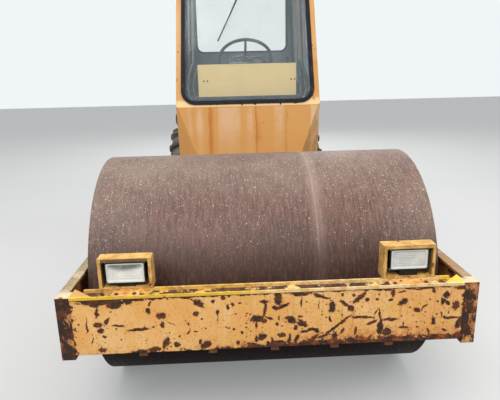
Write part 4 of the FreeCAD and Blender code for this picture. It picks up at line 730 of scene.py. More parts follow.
def weathered(recipe, paint):
    """Paint with pale runs and dark runs down its upright faces, dust on its tops and grime along its foot."""
    r = recipe
    c = colours()
    up = r.split(r.normal)[2]
    upright = r.ramp(up, 0.6, 0.2)
    runs = r.noise(1, 5, 0.65, r.stretched(16, 16, 1.1), shift=4.0)
    paint = r.laid(paint, rgb(228, 178, 120), runs, 0.5, 0.66, r.both(upright, 0.55))
    dark = r.noise(1, 5, 0.65, r.stretched(22, 22, 1.3), shift=6.0)
    paint = r.laid(paint, rgb(168, 98, 42), dark, 0.52, 0.66, r.both(upright, 0.55))
    dust = r.both(r.ramp(up, 0.7, 0.95), r.ramp(r.noise(5, 6, 0.65), 0.36, 0.66, 0.08, 0.5))
    paint = r.mix(dust, paint, c.dust)
    grime = r.minus(r.scaled(r.noise(7, 6, 0.7, shift=8.0), 0.7, 0.42), r.z)
    return r.laid(paint, rgb(104, 80, 54), grime, -0.12, 0.16, 0.6)


def machine_paint():
    """Yellow paint of the rear half, run, chipped and dusty."""
    r = Recipe("machine_paint")
    paint = weathered(r, faded(r, colours().hood_paint, colours().cab_faded, 2.0, 0.5))
    low = r.ramp(r.z, 0.95, 0.5, 0, 0.05)
    return r.done(*chipped(r, paint, 17, -0.012, 0.007, 0.55, low))


CAB_COLUMNS = [
    # x across the panel, then how dark (-1) to pale (1) the paint is there below the fold
    (-0.5, 0.0), (-0.462, 0.55), (-0.44, 0.35), (-0.43, -0.5), (-0.42, 0.3), (-0.385, 0.75), (-0.352, 0.35),
    (-0.33, -0.1), (-0.305, -0.95), (-0.285, -0.6), (-0.262, -0.15), (-0.235, 0.6), (-0.15, 0.8), (-0.075, 0.55),
    (-0.042, -0.15), (-0.015, 0.45), (0.02, 0.6), (0.044, 0.2), (0.054, -0.9), (0.068, -0.45), (0.12, -0.2),
    (0.175, -0.05), (0.205, 0.5), (0.262, 0.55), (0.286, 0.2), (0.294, -0.7), (0.308, -0.25), (0.4, -0.15),
    (0.47, -0.1), (0.5, 0.0),
]


CAB_CHIPS = [
    # x, z, half length, half width in millimetres, tilt in degrees: rust under the windscreen
    (-293, 1456, 7, 6, 0), (-239, 1455, 10, 4, 0), (-169, 1457, 12, 4, 0), (-49, 1453, 6, 10, 0),
    (53, 1454, 10, 9, 0), (158, 1457, 14, 4, 0), (252, 1453, 6, 10, 0), (-428, 1475, 22, 7, -50),
    (415, 1464, 50, 6, 15), (456, 1495, 30, 6, 60),
]


def cab_paint():
    """Orange cab paint in pale and dark columns below the fold, chipped round the windows, grey lining inside; painted
    light on the band above the fold, painted shade just under the fold and on the facets that face right.
    """
    r = Recipe("cab_paint")
    c = colours()
    spread = r.laid(c.cab_paint, rgb(226, 170, 104), r.noise(2.6, 4, 0.6), 0.36, 0.68)
    lower = r.ramp(r.y, -0.36, -0.4)
    sides = r.noise(1, 5, 0.65, r.stretched(13, 13, 1.0), shift=4.0)
    behind = r.ramp(r.y, -0.4, -0.34)
    spread = r.laid(spread, rgb(230, 184, 132), sides, 0.5, 0.64, r.both(behind, 0.6))
    deep_runs = r.noise(1, 5, 0.65, r.stretched(19, 19, 1.2), shift=6.0)
    spread = r.laid(spread, rgb(184, 108, 42), deep_runs, 0.52, 0.64, r.both(behind, 0.6))
    foot = r.minus(r.scaled(r.noise(8, 6, 0.7, shift=8.0), 0.4, 0.86), r.z)
    spread = r.laid(spread, rgb(120, 88, 54), foot, -0.06, 0.1, r.both(behind, 0.55))
    wander = r.split(r.shaken(0.03, 5))[0]
    across = r.scaled(wander, 1.0, 0.5)
    columns = r.node("ValToRGB", {0: across})
    columns.color_ramp.elements.remove(columns.color_ramp.elements[0])
    for x, shade in CAB_COLUMNS:
        grey = shade * 0.5 + 0.5
        element = columns.color_ramp.elements.new(x + 0.5)
        element.color = (grey, grey, grey, 1)
    columns.color_ramp.elements.remove(columns.color_ramp.elements[-1])
    shade = r.plus(columns.outputs[0], r.scaled(r.noise(9, 5, 0.65), 0.5, -0.25))
    below = r.both(r.ramp(r.z, 1.434, 1.43), lower)
    fading = r.both(below, r.ramp(r.z, 1.08, 1.36, 0.3, 1.0))
    pale = r.both(r.ramp(shade, 0.6, 0.92), fading)
    deep = r.both(r.ramp(shade, 0.36, 0.06), r.ramp(r.both(below, r.ramp(r.z, 1.0, 1.25, 0.6, 1.0)), 0, 1))
    outside = r.mix(r.both(below, 0.8), spread, r.mix(r.noise(7, 4), rgb(216, 156, 84), rgb(224, 166, 96)))
    outside = r.mix(r.both(pale, 0.85), outside, rgb(232, 190, 148))
    outside = r.mix(r.both(deep, 0.9), outside, rgb(202, 122, 44))
    # Painted shade: the corner facets that face right are darkened olive brown.
    facet = r.ramp(r.split(r.normal)[0], 0.25, 0.5)
    painted_facet_shade = r.both(r.both(facet, below), r.ramp(r.noise(6, 5, 0.6, r.stretched(1.6, 1.6, 0.8), shift=4.0), 0.36, 0.6))
    outside = r.mix(r.both(painted_facet_shade, 0.75), outside, rgb(158, 120, 68))
    # Painted highlight: the band between the fold and the windscreen rubber is made paler.
    strip = r.both(r.both(r.ramp(r.z, CAB_FOLD - 0.001, CAB_FOLD + 0.001), r.ramp(r.z, 1.5, 1.47)), lower)
    outside = r.mix(r.both(strip, 0.9), outside, rgb(255, 220, 156))
    # Painted shade: a darker band just under the fold.
    fold = r.both(r.both(r.ramp(r.z, 1.426, 1.431), r.ramp(r.z, CAB_FOLD + 0.001, CAB_FOLD - 0.001)), lower)
    outside = r.mix(r.both(fold, 0.45), outside, rgb(214, 138, 66))
    by_rubber = r.both(r.both(r.ramp(r.z, 1.456, 1.462), r.ramp(r.z, 1.49, 1.48)), lower)
    high = r.both(lower, r.both(r.ramp(r.z, 1.49, 1.5), r.ramp(r.absolute(r.x), 0.48, 0.5)))
    near = r.plus(r.blots(r.shaken(0.01, 70), CAB_CHIPS), r.both(r.noise(150, 5, 0.7), 0.8))
    drops = r.both(r.both(r.ramp(near, 1.8, 1.5), lower), r.ramp(r.z, 1.434, 1.436))
    extra = r.plus(r.both(by_rubber, 0.08), r.either(r.both(high, 0.07), r.both(behind, 0.02)))
    extra = r.either(extra, r.both(drops, 0.6))
    colour, rough, normal = chipped(r, outside, 30, -0.035, 0.003, 0.5, extra)
    rise = r.either(r.minus(r.z, CAB_SILL), 0.0)
    behind_front = r.minus(r.y, r.scaled(rise, CAB_LEAN, CAB_FRONT))
    from_side = r.minus(r.scaled(rise, -0.0472, CAB_SIDE), r.absolute(r.x))
    from_rear = r.minus(CAB_REAR, r.y)
    depth = r.math("MINIMUM", r.math("MINIMUM", behind_front, from_side), from_rear)
    above = r.both(r.ramp(depth, 0.005, 0.007), r.ramp(r.z, 1.445, 1.45))
    middle = r.vector("SUBTRACT", r.place, CAB_MIDDLE)
    level = r.vector("MULTIPLY", middle, (1, 1, 0))
    outward = r.vector("DOT_PRODUCT", level, r.normal, 1)
    inner = r.either(r.ramp(outward, -0.05, -0.1), above)
    lining = r.laid(c.lining, rgb(94, 102, 109), r.noise(6, 5, 0.6), 0.35, 0.7)
    return r.done(r.mix(inner, colour, lining), r.ramp(inner, 0, 1, 0.5, 0.55), normal)


def roof_paint():
    """Cab paint over the roof, dusty on top, lined below."""
    r = Recipe("roof_paint")
    c = colours()
    up = r.split(r.normal)[2]
    paint = faded(r, c.cab_paint, c.cab_faded, 2.2, 0.5)
    dusty = r.both(r.ramp(up, 0.7, 0.95), r.ramp(r.noise(4, 5), 0.35, 0.7, 0.1, 0.55))
    paint = r.mix(dusty, paint, c.dust)
    colour, rough, normal = chipped(r, paint, 16, -0.01, 0.007, 0.55)
    return r.done(r.laid(colour, c.lining, up, -0.7, -0.9), rough, normal)


def drum_steel():
    """Mauve oxide worn smooth, with stone dust specks drawn out round the drum, paler at its ends, paler above with
    dust and painted light, and darker below with painted shade.
    """
    r = Recipe("drum_steel")
    c = colours()
    about = r.vector("SUBTRACT", r.place, DRUM_AXIS)
    _, y, z = r.split(about)
    arc = r.both(r.math("ARCTAN2", y, z), DRUM_RADIUS)
    skin = r.node("CombineXYZ", {0: r.x, 1: arc}).outputs[0]
    base = r.laid(c.drum_oxide, rgb(102, 66, 53), r.noise(2.2, 5, 0.6), 0.36, 0.68)
    fine = r.noise(1, 5, 0.65, r.stretched(90, 16, 1, skin))
    base = r.laid(base, rgb(144, 110, 96), fine, 0.44, 0.66, 0.62)
    dark = r.noise(1, 5, 0.65, r.stretched(60, 9, 1, skin), shift=5.0)
    base = r.laid(base, rgb(56, 33, 26), dark, 0.45, 0.62, 0.75)
    grit = r.noise(1, 3, 0.7, r.stretched(240, 120, 1, skin), shift=2.0)
    base = r.laid(base, rgb(170, 138, 122), grit, 0.5, 0.66, 0.45)
    ends = r.ramp(r.absolute(r.x), 0.4, 0.84)
    # Paler towards the top of the drum: partly stone dust, partly painted light from above; it also puts more pale
    # specks there.
    dust_and_light_on_top = r.ramp(r.plus(z, r.both(r.noise(4, 4), 0.08)), 0.42, 0.64)
    for scale, seed, size, most in ((62, 0.0, 0.2, 0.85), (110, 3.7, 0.28, 0.75), (210, 8.1, 0.38, 0.65)):
        grid = r.stretched(scale, scale * 0.55, 1, r.vector("ADD", skin, (seed, seed, 0)))
        luck = r.split(r.cells(1, grid, "Color"))[0]
        chance = r.ramp(r.plus(ends, r.both(dust_and_light_on_top, 1.1)), 0.0, 1.3, 0.9, 0.6)
        there = r.math("GREATER_THAN", luck, chance)
        spot = r.ramp(r.cells(1, grid), size, size * 0.3)
        base = r.mix(r.both(r.both(spot, there), most), base, rgb(218, 204, 190))
    streaks = r.noise(1, 3, 0.6, r.stretched(150, 14, 1, skin), shift=9.0)
    pale = r.both(r.ramp(streaks, 0.6, 0.74), r.ramp(ends, 0, 1, 0.3, 0.8))
    base = r.mix(pale, base, rgb(158, 138, 124))
    # Dust over the ends, and dust with painted light over the top.
    dusty = r.ramp(r.noise(3, 6, 0.65), 0.3, 0.7, 0.1, 0.42)
    base = r.mix(r.both(r.either(r.both(ends, 0.7), r.both(dust_and_light_on_top, 0.9)), dusty), base, rgb(172, 152, 136))
    band = r.ramp(r.absolute(r.minus(r.x, 0.268)), 0.05, 0.004)
    base = r.mix(r.both(band, 0.26), base, rgb(182, 158, 144))
    line = r.ramp(r.absolute(r.minus(r.x, 0.262)), 0.006, 0.001)
    base = r.mix(r.both(line, 0.25), base, rgb(196, 174, 158))
    # Painted shade: the lower part of the drum is darkened towards the bottom.
    painted_low_shade = r.ramp(r.plus(z, r.both(r.noise(5, 5), 0.1)), 0.42, 0.2)
    base = r.mix(r.both(painted_low_shade, 0.75), base, r.laid(rgb(42, 20, 11), rgb(80, 44, 27), fine, 0.4, 0.7))
    # Painted shadow: the underside of the drum turns nearly black and less glossy.
    painted_underside_shadow = r.ramp(r.plus(z, r.both(r.noise(5, 5), 0.1)), 0.16, -0.1)
    base = r.mix(r.both(painted_underside_shadow, 0.9), base, rgb(14, 9, 7))
    r.feed(r.shader.inputs["Specular IOR Level"], r.ramp(painted_underside_shadow, 0, 1, 0.5, 0.08))
    height = r.plus(r.both(fine, 0.4), r.both(r.noise(70, 4), 0.6))
    return r.done(base, r.ramp(fine, 0.3, 0.8, 0.5, 0.75), r.bump(height, 0.0012))


def worn(name, base, *layers, edge=None, rim=None, rough=0.6, relief=(100, 4), depth=0.0005, **constants):
    """A simple material: colours laid over a base by noise, paler or darker rims, and a fine relief."""
    r = Recipe(name, **constants)
    for noise, start, end, share, colour in layers:
        base = r.laid(base, colour, r.noise(*noise), start, end, share)
    near_edge, soft = r.edges(edge) if edge else (None, None)
    if rim:
        base = r.mix(r.both(near_edge, rim[0]), base, rim[1])
    if isinstance(rough, tuple):
        noise, low, high = rough
        rough = r.ramp(r.noise(*noise), 0.3, 0.7, low, high)
    return r.done(base, rough, r.bump(r.noise(*relief), depth, soft))


def rusty_steel():
    """Rusted bare steel of scrapers, drum ends and brackets."""
    c = colours()
    return worn(
        "rusty_steel", c.rust, ((11, 6), 0.35, 0.65, 1, rgb(116, 70, 44)), ((28, 5, 0.7), 0.55, 0.75, 1, c.dirt),
        edge=0.003, rim=(0.3, c.dust), rough=0.8, relief=(120, 5), depth=0.0015, metallic=0.15,
    )


def dark_steel():
    """Dark painted steel with oily dust."""
    c = colours()
    return worn(
        "dark_steel", c.dark_steel, ((7, 5), 0.4, 0.7, 1, c.dirt), ((19, 6, 0.7), 0.52, 0.72, 0.6, c.dust),
        edge=0.003, rim=(0.4, c.rust), rough=((30, 3), 0.5, 0.8), relief=(90, 4), depth=0.0008, metallic=0.2,
    )


def bright_steel():
    """Plated or ground steel, dulled by weather."""
    c = colours()
    return worn(
        "bright_steel", c.bright_steel, ((40, 4), 0.5, 0.75, 1, c.rust),
        edge=0.001, rough=((60, 4), 0.28, 0.5), relief=(300, 2), depth=0.0002, metallic=0.85,
    )


def chrome():
    """Hard-chromed cylinder rod with fine scratches along it."""
    r = Recipe("chrome", metallic=1.0)
    scratch = r.noise(1, 3, 0.6, r.stretched(400, 20, 400))
    base = r.laid(rgb(206, 206, 204), rgb(150, 146, 140), scratch, 0.5, 0.8)
    return r.done(base, r.ramp(scratch, 0.3, 0.8, 0.12, 0.3), r.bump(scratch, 0.0001))


def tyre_rubber():
    """Weathered tyre rubber, dusty between the bars and on the side wall."""
    r = Recipe("tyre_rubber")
    c = colours()
    about = r.vector("SUBTRACT", r.place, WHEEL_AXIS)
    _, y, z = r.split(about)
    radius = r.math("SQRT", r.plus(r.both(y, y), r.both(z, z)))
    dusty = r.ramp(r.noise(7, 6, 0.65), 0.35, 0.75)
    between = r.ramp(radius, 0.566, 0.548)
    base = r.mix(r.both(dusty, r.ramp(between, 0, 1, 0.15, 0.6)), c.tyre, c.dust)
    near_edge, soft = r.edges(0.004)
    base = r.mix(r.both(near_edge, 0.3), base, rgb(92, 88, 82))
    height = r.plus(r.noise(60, 5), r.both(r.noise(300, 2), 0.3))
    return r.done(base, r.ramp(dusty, 0, 1, 0.62, 0.88), r.bump(height, 0.0012, soft))


def black_rubber():
    """Window rubber and seals."""
    c = colours()
    return worn(
        "black_rubber", c.rubber, ((12, 5), 0.5, 0.8, 0.15, c.dust),
        edge=0.003, rough=0.55, relief=(150, 3), specular_ior_level=0.2,
    )


def dark_plastic():
    """Moulded plastic with a fine leather grain."""
    r = Recipe("dark_plastic")
    base = r.laid(colours().plastic, colours().dust, r.noise(6, 5), 0.45, 0.75, 0.35)
    _, soft = r.edges(0.004)
    return r.done(base, r.ramp(r.noise(20, 3), 0.3, 0.7, 0.42, 0.62), r.bump(r.cells(900), 0.0003, soft))


def lining():
    """Grey inner skin and floor of the cab."""
    r = Recipe("lining")
    base = r.mix(r.both(r.noise(5, 5), 0.4), colours().lining, colours().dust)
    _, soft = r.edges(0.004)
    return r.done(base, 0.6, r.bump(r.noise(200, 2), 0.0003, soft))


def seat_vinyl():
    """Black vinyl with a fine grain, greyed where it is sat on."""
    r = Recipe("seat_vinyl")
    base = r.laid(colours().vinyl, rgb(84, 84, 84), r.noise(7, 4), 0.4, 0.7, 0.4)
    height = r.plus(r.both(r.cells(700), 0.6), r.both(r.noise(30, 4), 1.2))
    return r.done(base, r.ramp(r.noise(18, 3), 0.3, 0.7, 0.4, 0.6), r.bump(height, 0.0006))


def plywood():
    """Birch plywood, cut sharp, with a long faint grain."""
    r = Recipe("plywood")
    grain = r.noise(1, 5, 0.6, r.stretched(3, 30, 46))
    flecks = r.noise(1, 3, 0.6, r.stretched(26, 60, 240), shift=2.0)
    base = r.laid(colours().plywood, rgb(255, 214, 148), grain, 0.35, 0.7, 0.5)
    base = r.laid(base, rgb(204, 160, 104), flecks, 0.58, 0.75, 0.25)
    near_edge, _ = r.edges(0.003)
    base = r.mix(r.both(near_edge, 0.5), base, rgb(248, 228, 190))
    return r.done(base, 0.7, r.bump(grain, 0.0004))


def window_glass():
    """Clear pane with a grey-blue cast, smeared a little."""
    r = Recipe("window_glass", roughness=0.03, ior=1.5)
    fresnel = r.node("Fresnel", {"IOR": 1.4}).outputs[0]
    smear = r.ramp(r.noise(4, 5), 0.45, 0.8, 0, 0.05)
    alpha = r.plus(r.plus(fresnel, 0.06), smear, clamp=True)
    r.feed(r.shader.inputs["Alpha"], alpha)
    return r.done(r.mix(r.noise(3, 3), rgb(222, 232, 234), rgb(206, 220, 224)))


def engine_paint():
    """Grey-green engine with oil and dust."""
    c = colours()
    return worn(
        "engine_paint", c.engine, ((6, 6, 0.7), 0.45, 0.65, 1, c.dirt), ((13, 4), 0.5, 0.8, 0.5, c.dust),
        edge=0.006, relief=(60, 4), depth=0.001,
    )


def rim_paint():
    """Rim paint with chips, stone dust and rust at its edges."""
    r = Recipe("rim_paint")
    paint = faded(r, colours().rim, colours().dust, 5, 0.6)
    mud = r.ramp(r.noise(16, 6, 0.7, shift=3.0), 0.5, 0.68)
    paint = r.mix(r.both(mud, 0.65), paint, rgb(112, 92, 70))
    return r.done(*chipped(r, paint, 24, 0.035, 0.006, 0.65))


def red_lens():
    """Red lamp lens with a moulded prism grid."""
    r = Recipe("red_lens", roughness=0.18, coat_weight=0.6)
    base = r.mix(r.noise(20, 3), rgb(150, 16, 12), rgb(190, 34, 22))
    grid = r.both(r.math("PINGPONG", r.x, 0.006), r.math("PINGPONG", r.z, 0.006))
    return r.done(base, None, r.bump(grid, 0.4))


def foot_paint():
    """Peach paint of the lamp guards' feet, with dark holes of rust."""
    r = Recipe("foot_paint")
    paint = r.laid(rgb(214, 146, 72), rgb(240, 194, 124), r.noise(24, 5, 0.7), 0.36, 0.64)
    return r.done(*chipped(r, paint, 34, 0.05, 0.004, 0.65))


def brown_strip():
    """Brownish sun-faded strip on the cab's inner post."""
    r = Recipe("brown_strip")
    streaks = r.noise(1, 4, 0.6, r.stretched(60, 60, 5))
    return r.done(r.laid(rgb(112, 100, 90), rgb(146, 124, 102), streaks, 0.35, 0.65), 0.7, r.bump(streaks, 0.0005))


def shiny_trim():
    """Glossy dark trim in the cab's corners."""
    layer = (18, 4), 0.4, 0.7, 1, rgb(84, 92, 98)
    return worn("shiny_trim", rgb(46, 52, 56), layer, rough=0.25, relief=(90, 3), depth=0.0003, coat_weight=0.3)


def lamp_shell():
    """Black lamp shell with dried mud."""
    layer = (26, 5), 0.5, 0.75, 0.3, rgb(92, 78, 58)
    return worn("lamp_shell", rgb(24, 22, 20), layer, relief=(140, 4), depth=0.0004, specular_ior_level=0.25)


def sheet_mesh():
    """Woven guard mesh: bright wires over a dark ground."""
    r = Recipe("sheet_mesh", metallic=0.3)
    wires = r.either(*(r.ramp(r.math("PINGPONG", along, 0.006), 0.0018, 0.0012) for along in (r.x, r.z)))
    base = r.mix(wires, rgb(16, 15, 14), r.mix(r.noise(20, 4), rgb(84, 78, 70), rgb(120, 96, 70)))
    return r.done(base, 0.7, r.bump(wires, 0.001))


def floor_mat():
    """Ribbed rubber mat with grit in its grooves."""
    r = Recipe("floor_mat", specular_ior_level=0.3)
    ribs = r.math("PINGPONG", r.x, 0.009)
    base = r.laid(rgb(36, 36, 36), rgb(126, 114, 96), ribs, 0.004, 0.001, r.noise(14, 5))
    return r.done(base, 0.75, r.bump(ribs, 0.35))


def lamp_plastic():
    """Pale weathered lamp frame."""
    r = Recipe("lamp_plastic")
    base = r.mix(r.both(r.noise(40, 4), 0.35), colours().lamp_bezel, rgb(160, 162, 156))
    _, soft = r.edges(0.002)
    return r.done(base, 0.4, r.bump(r.noise(200, 3), 0.0003, soft))


def lamp_mirror():
    """Silvered reflector, clouded with age."""
    r = Recipe("lamp_mirror", metallic=0.9)
    cloud = r.ramp(r.noise(30, 4), 0.35, 0.7)
    return r.done(r.mix(cloud, rgb(226, 226, 222), rgb(158, 160, 158)), r.ramp(cloud, 0, 1, 0.14, 0.35))


def lamp_glass():
    """Pressed headlamp glass."""
    r = Recipe("lamp_glass", roughness=0.1, ior=1.5)
    fresnel = r.node("Fresnel", {"IOR": 1.6}).outputs[0]
    left = r.ramp(r.x, 0.1, -0.1)
    rings = r.absolute(r.minus(r.absolute(r.x), LAMP_X))
    bow = r.ramp(r.plus(r.minus(r.z, 0.862), r.both(r.both(rings, rings), -3.0)), -0.012, 0.012)
    clouded = r.both(r.both(left, bow), r.ramp(r.noise(26, 4), 0.3, 0.6, 0.6, 1.0))
    cloud = r.ramp(r.noise(26, 4), 0.4, 0.8, 0, 0.2)
    r.feed(r.shader.inputs["Alpha"], r.plus(r.plus(fresnel, r.ramp(left, 0, 1, 0.55, 0.76)), cloud, clamp=True))
    glass = r.mix(r.noise(9, 2), rgb(236, 240, 234), rgb(252, 252, 246))
    return r.done(r.mix(clouded, glass, rgb(112, 122, 116)))


NODE_FINISHES = {
    front_beam_paint: ["front_beam"],
    post_paint: ["corner_posts"],
    side_beam_paint: ["side_beams"],
    frame_paint: ["lamp_guards", "drum_crossbeam"],
    rusty_steel: ["scrapers", "drum_ends", "drum_carriers"],
    drum_steel: ["drum_shell"],
    black_rubber: ["drum_buffers", "cab_mounts", "window_seals"],
    lamp_shell: ["headlamp_shells"],
    dark_plastic: ["dashboard", "side_console", "steering_wheel", "wiper"],
    lamp_glass: ["headlamp_lenses"],
    machine_paint: ["hitch_block", "chassis_nose", "chassis_rails", "counterweight", "hood", "side_tanks"],
    cab_paint: ["cab_front", "cab_sides", "cab_rear", "door_left", "door_right"],
    roof_paint: ["cab_roof"],
    window_glass: ["cab_glass", "door_glass_left", "door_glass_right"],
    lining: ["cab_floor"],
    dark_steel: [
        "rear_axle", "steps", "radiator", "hood_grille", "exhaust_stack", "cylinder_barrel_left",
        "cylinder_barrel_right", "seat_base",
    ],
    bright_steel: ["steering_pin"],
    chrome: ["cylinder_rod_left", "cylinder_rod_right"],
    seat_vinyl: ["seat_cushion", "seat_back"],
    plywood: ["screen_board"],
    engine_paint: ["engine"],
    rim_paint: ["rim_left", "rim_right"],
    tyre_rubber: ["tyre_left", "tyre_right"],
    red_lens: ["tail_lamps"],
}


class ROLLER_OT_finishes(bpy.types.Operator):
    """Paint, rust, rubber and glass on the pieces that the frame brings"""

    bl_idname = "roller.finishes"
    bl_label = "Finishes of the frame"

    def execute(self, context):
        done = set()
        for maker, names in NODE_FINISHES.items():
            for name in names:
                for material_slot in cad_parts[name].material_slots:
                    material_slot.material = finish(maker)
                done.add(name)
        left = set(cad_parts) - done
        if left:
            raise RuntimeError(f"no finish for {sorted(left)}")
        return {"FINISHED"}


class ROLLER_OT_drum_skin(bpy.types.Operator):
    """Smooth rolled shell of the drum with rounded rims"""

    bl_idname = "roller.drum_skin"
    bl_label = "Drum skin"

    def execute(self, context):
        low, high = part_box("drum_shell")
        inner = DRUM_RADIUS - 0.022
        outline = [(low.x, inner), (low.x, DRUM_RADIUS), (high.x, DRUM_RADIUS), (high.x, inner), (low.x, inner)]
        skin = lathe("drum_skin", outline, DRUM_AXIS, (1, 0, 0), 256)
        rounded(skin, sizes().drum_edge, 3, 60)
        smooth(skin)
        wear(skin, "drum", "drum_steel", drum_steel, "drum_shell")
        return {"FINISHED"}


class ROLLER_OT_headlamps(bpy.types.Operator):
    """Bezels, clouded mirrors and pressed lenses of the two headlamps"""

    bl_idname = "roller.headlamps"
    bl_label = "Headlamps"

    def execute(self, context):
        low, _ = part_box("headlamp_lenses")
        bezels, mirrors, lenses = [], [], []
        for side in (-1, 1):
            points = [v.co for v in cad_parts["headlamp_lenses"].data.vertices if v.co.x * side > 0]
            x0, x1 = min(p.x for p in points), max(p.x for p in points)
            z0, z1 = min(p.z for p in points), max(p.z for p in points)
            y0 = low.y
            width, height = x1 - x0, z1 - z0
            bezel = block(f"bezel{side}", (x0 - 0.005, y0 - 0.001, z0 - 0.005), (x1 + 0.005, y0 + 0.013, z1 + 0.005))
            inset(bezel, FRONT, 0.006)
            hole = block("hole", (x0 + 0.007, y0 - 0.02, z0 + 0.007), (x1 - 0.007, y0 + 0.03, z1 - 0.007))
            bevel(hole, ALONG_Y, 0.008, 4)
            cut(bezel, hole)
            rounded(bezel, 0.003, 3, 50)
            bezels.append(smooth(bezel))
            pane = block(f"pane{side}", (x0 + 0.006, y0 + 0.003, z0 + 0.006), (x1 - 0.006, y0 + 0.007, z1 - 0.006))
            pick(pane, FRONT)
            bpy.ops.mesh.inset(thickness=height * 0.1)
            for _ in range(3):
                bpy.ops.mesh.inset(thickness=sizes().flute * 0.3, depth=0.0012)
                bpy.ops.mesh.inset(thickness=sizes().flute * 0.3, depth=-0.0012)
            clear()
            lenses.append(smooth(pane, 15))
            mirror = block(f"mirror{side}", (x0 + 0.004, y0 + 0.012, z0 + 0.004), (x1 - 0.004, y0 + 0.042, z1 - 0.004))
            pick(mirror, FRONT)
            for step in (0.3, 0.25, 0.2, 0.15):
                bpy.ops.mesh.inset(thickness=height * 0.11, depth=-0.028 * step)
            clear()
            mirrors.append(smooth(mirror, 60))
        wear(join(bezels, "headlamp_bezels"), "drum_frame", "lamp_glass", lamp_plastic)
        wear(join(mirrors, "headlamp_mirrors"), "drum_frame", "lamp_glass", lamp_mirror)
        wear(join(lenses, "headlamp_panes"), "drum_frame", "lamp_glass", lamp_glass, "headlamp_lenses")
        return {"FINISHED"}


class ROLLER_OT_steering_wheel(bpy.types.Operator):
    """Thin steering wheel with three spokes, a dished hub and grip bumps"""

    bl_idname = "roller.steering_wheel"
    bl_label = "Steering wheel"

    def execute(self, context):
        tilt = math.radians(42)
        centre = Vector((0, -0.009, 1.8))
        down = Vector((0, -math.sin(tilt), -math.cos(tilt)))
        turn = (-down).to_track_quat("Z", "Y").to_euler()
        grip = sizes().grip / 2
        reach = 0.235 - grip
        clear()
        bpy.ops.mesh.primitive_torus_add(
            location=centre, rotation=turn, major_radius=reach, minor_radius=grip, major_segments=96, minor_segments=14,
        )
        rim = settle(bpy.context.object, "steering_rim")
        inset(rim, lambda middle, normal: (middle - centre).dot(down) > grip * 0.6, 0.001, -0.0006)
        across = Vector((1, 0, 0))
        up = down.cross(across)
        hub = lathe(
            "steering_hub",
            [(0.0, 0.0), (0.0, 0.03), (0.004, 0.036), (0.022, 0.038), (0.03, 0.034), (0.046, 0.022), (0.046, 0.0)],
            centre + down * 0.036, -down, 40,
        )
        spokes = []
        for angle in (90, 210, 330):
            a = math.radians(angle)
            end = centre + (across * math.cos(a) + up * math.sin(a)) * reach
            spoke = rod("spoke", 0.011, centre + down * 0.012, end, 16, 0.0085)
            edit(spoke, everything, bpy.ops.mesh.subdivide, number_cuts=2)
            spokes.append(spoke)
        wheel = smooth(join([rim, hub] + spokes, "steering_wheel_rim"), 50)
        wear(wheel, "chassis", "dark_plastic", dark_plastic, "steering_wheel")
        return {"FINISHED"}


def pad(name, node, rest_normal, seams):
    """A stuffed copy of a soft node: remeshed, swollen by a cloth simulation, then sewn along its seams."""
    piece = copied(node, name)
    low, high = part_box(node)
    middle = (low + high) / 2
    allowance = sizes().pad_shrink
    shrink = Matrix.Diagonal([1 - 2 * allowance / (high - low)[i] for i in range(3)] + [1])
    piece.data.transform(Matrix.Translation(middle) @ shrink @ Matrix.Translation(-middle))
    finished(piece, "REMESH", mode="VOXEL", voxel_size=0.006)
    rest = [v.co.copy() for v in piece.data.vertices]
    pinned = piece.vertex_groups.new(name="resting")
    side = Vector(rest_normal)
    reach = max(co.dot(side) for co in rest)
    pinned.add([i for i, co in enumerate(rest) if co.dot(side) > reach - 0.004], 1.0, "REPLACE")
    cloth = piece.modifiers.new("Cloth", "CLOTH")
    cloth.settings.use_pressure = True
    cloth.settings.uniform_pressure_force = 4
    cloth.settings.vertex_group_mass = "resting"
    cloth.settings.effector_weights.gravity = 0
    for step in range(1, 21):
        bpy.context.scene.frame_set(step)
    swollen = piece.evaluated_get(bpy.context.evaluated_depsgraph_get()).data
    moved = [v.co.copy() for v in swollen.vertices]
    piece.modifiers.remove(cloth)
    bpy.context.scene.frame_set(1)
    for vertex, start, end in zip(piece.data.vertices, rest, moved):
        step = end - start
        if step.length > sizes().pad_swell:
            step = step.normalized() * sizes().pad_swell
        vertex.co = start + step
    for vertex in piece.data.vertices:
        vertex.co += seams(vertex.co)
    activate(piece)
    bpy.ops.object.shade_smooth()
    finished(piece, "SUBSURF", levels=1, render_levels=1)
    return piece


def groove(distance, width, depth):
    """Depth of a sewn groove at a distance from its line."""
    return -depth * math.exp(-((distance / width) ** 2))


class ROLLER_OT_seat_pads(bpy.types.Operator):
    """Swollen vinyl cushion and low back of the driver's seat, with sewn channels"""

    bl_idname = "roller.seat_pads"
    bl_label = "Seat pads"

    def execute(self, context):
        low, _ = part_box("seat_cushion")

        def cushion_seams(point):
            share = max(0.0, min(1.0, (point.z - low.z - 0.05) / 0.03))
            lines = (point.x - 0.12, point.x + 0.12)
            depth = sum(groove(line, 0.006, 0.009) for line in lines)
            return Vector((0, 0, depth * share))

        cushion = pad("seat_cushion_pad", "seat_cushion", (0, 0, -1), cushion_seams)
        wear(cushion, "chassis", "seat_vinyl", seat_vinyl, "seat_cushion")
        back_low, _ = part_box("seat_back")

        def back_seams(point):
            share = max(0.0, min(1.0, (back_low.y + 0.04 - point.y) / 0.03))
            lines = (point.x - 0.1, point.x + 0.1)
            depth = sum(groove(line, 0.006, 0.009) for line in lines)
            return Vector((0, -depth * share, 0))

        back = pad("seat_back_pad", "seat_back", (0, 1, 0), back_seams)
        wear(back, "chassis", "seat_vinyl", seat_vinyl, "seat_back")
        return {"FINISHED"}


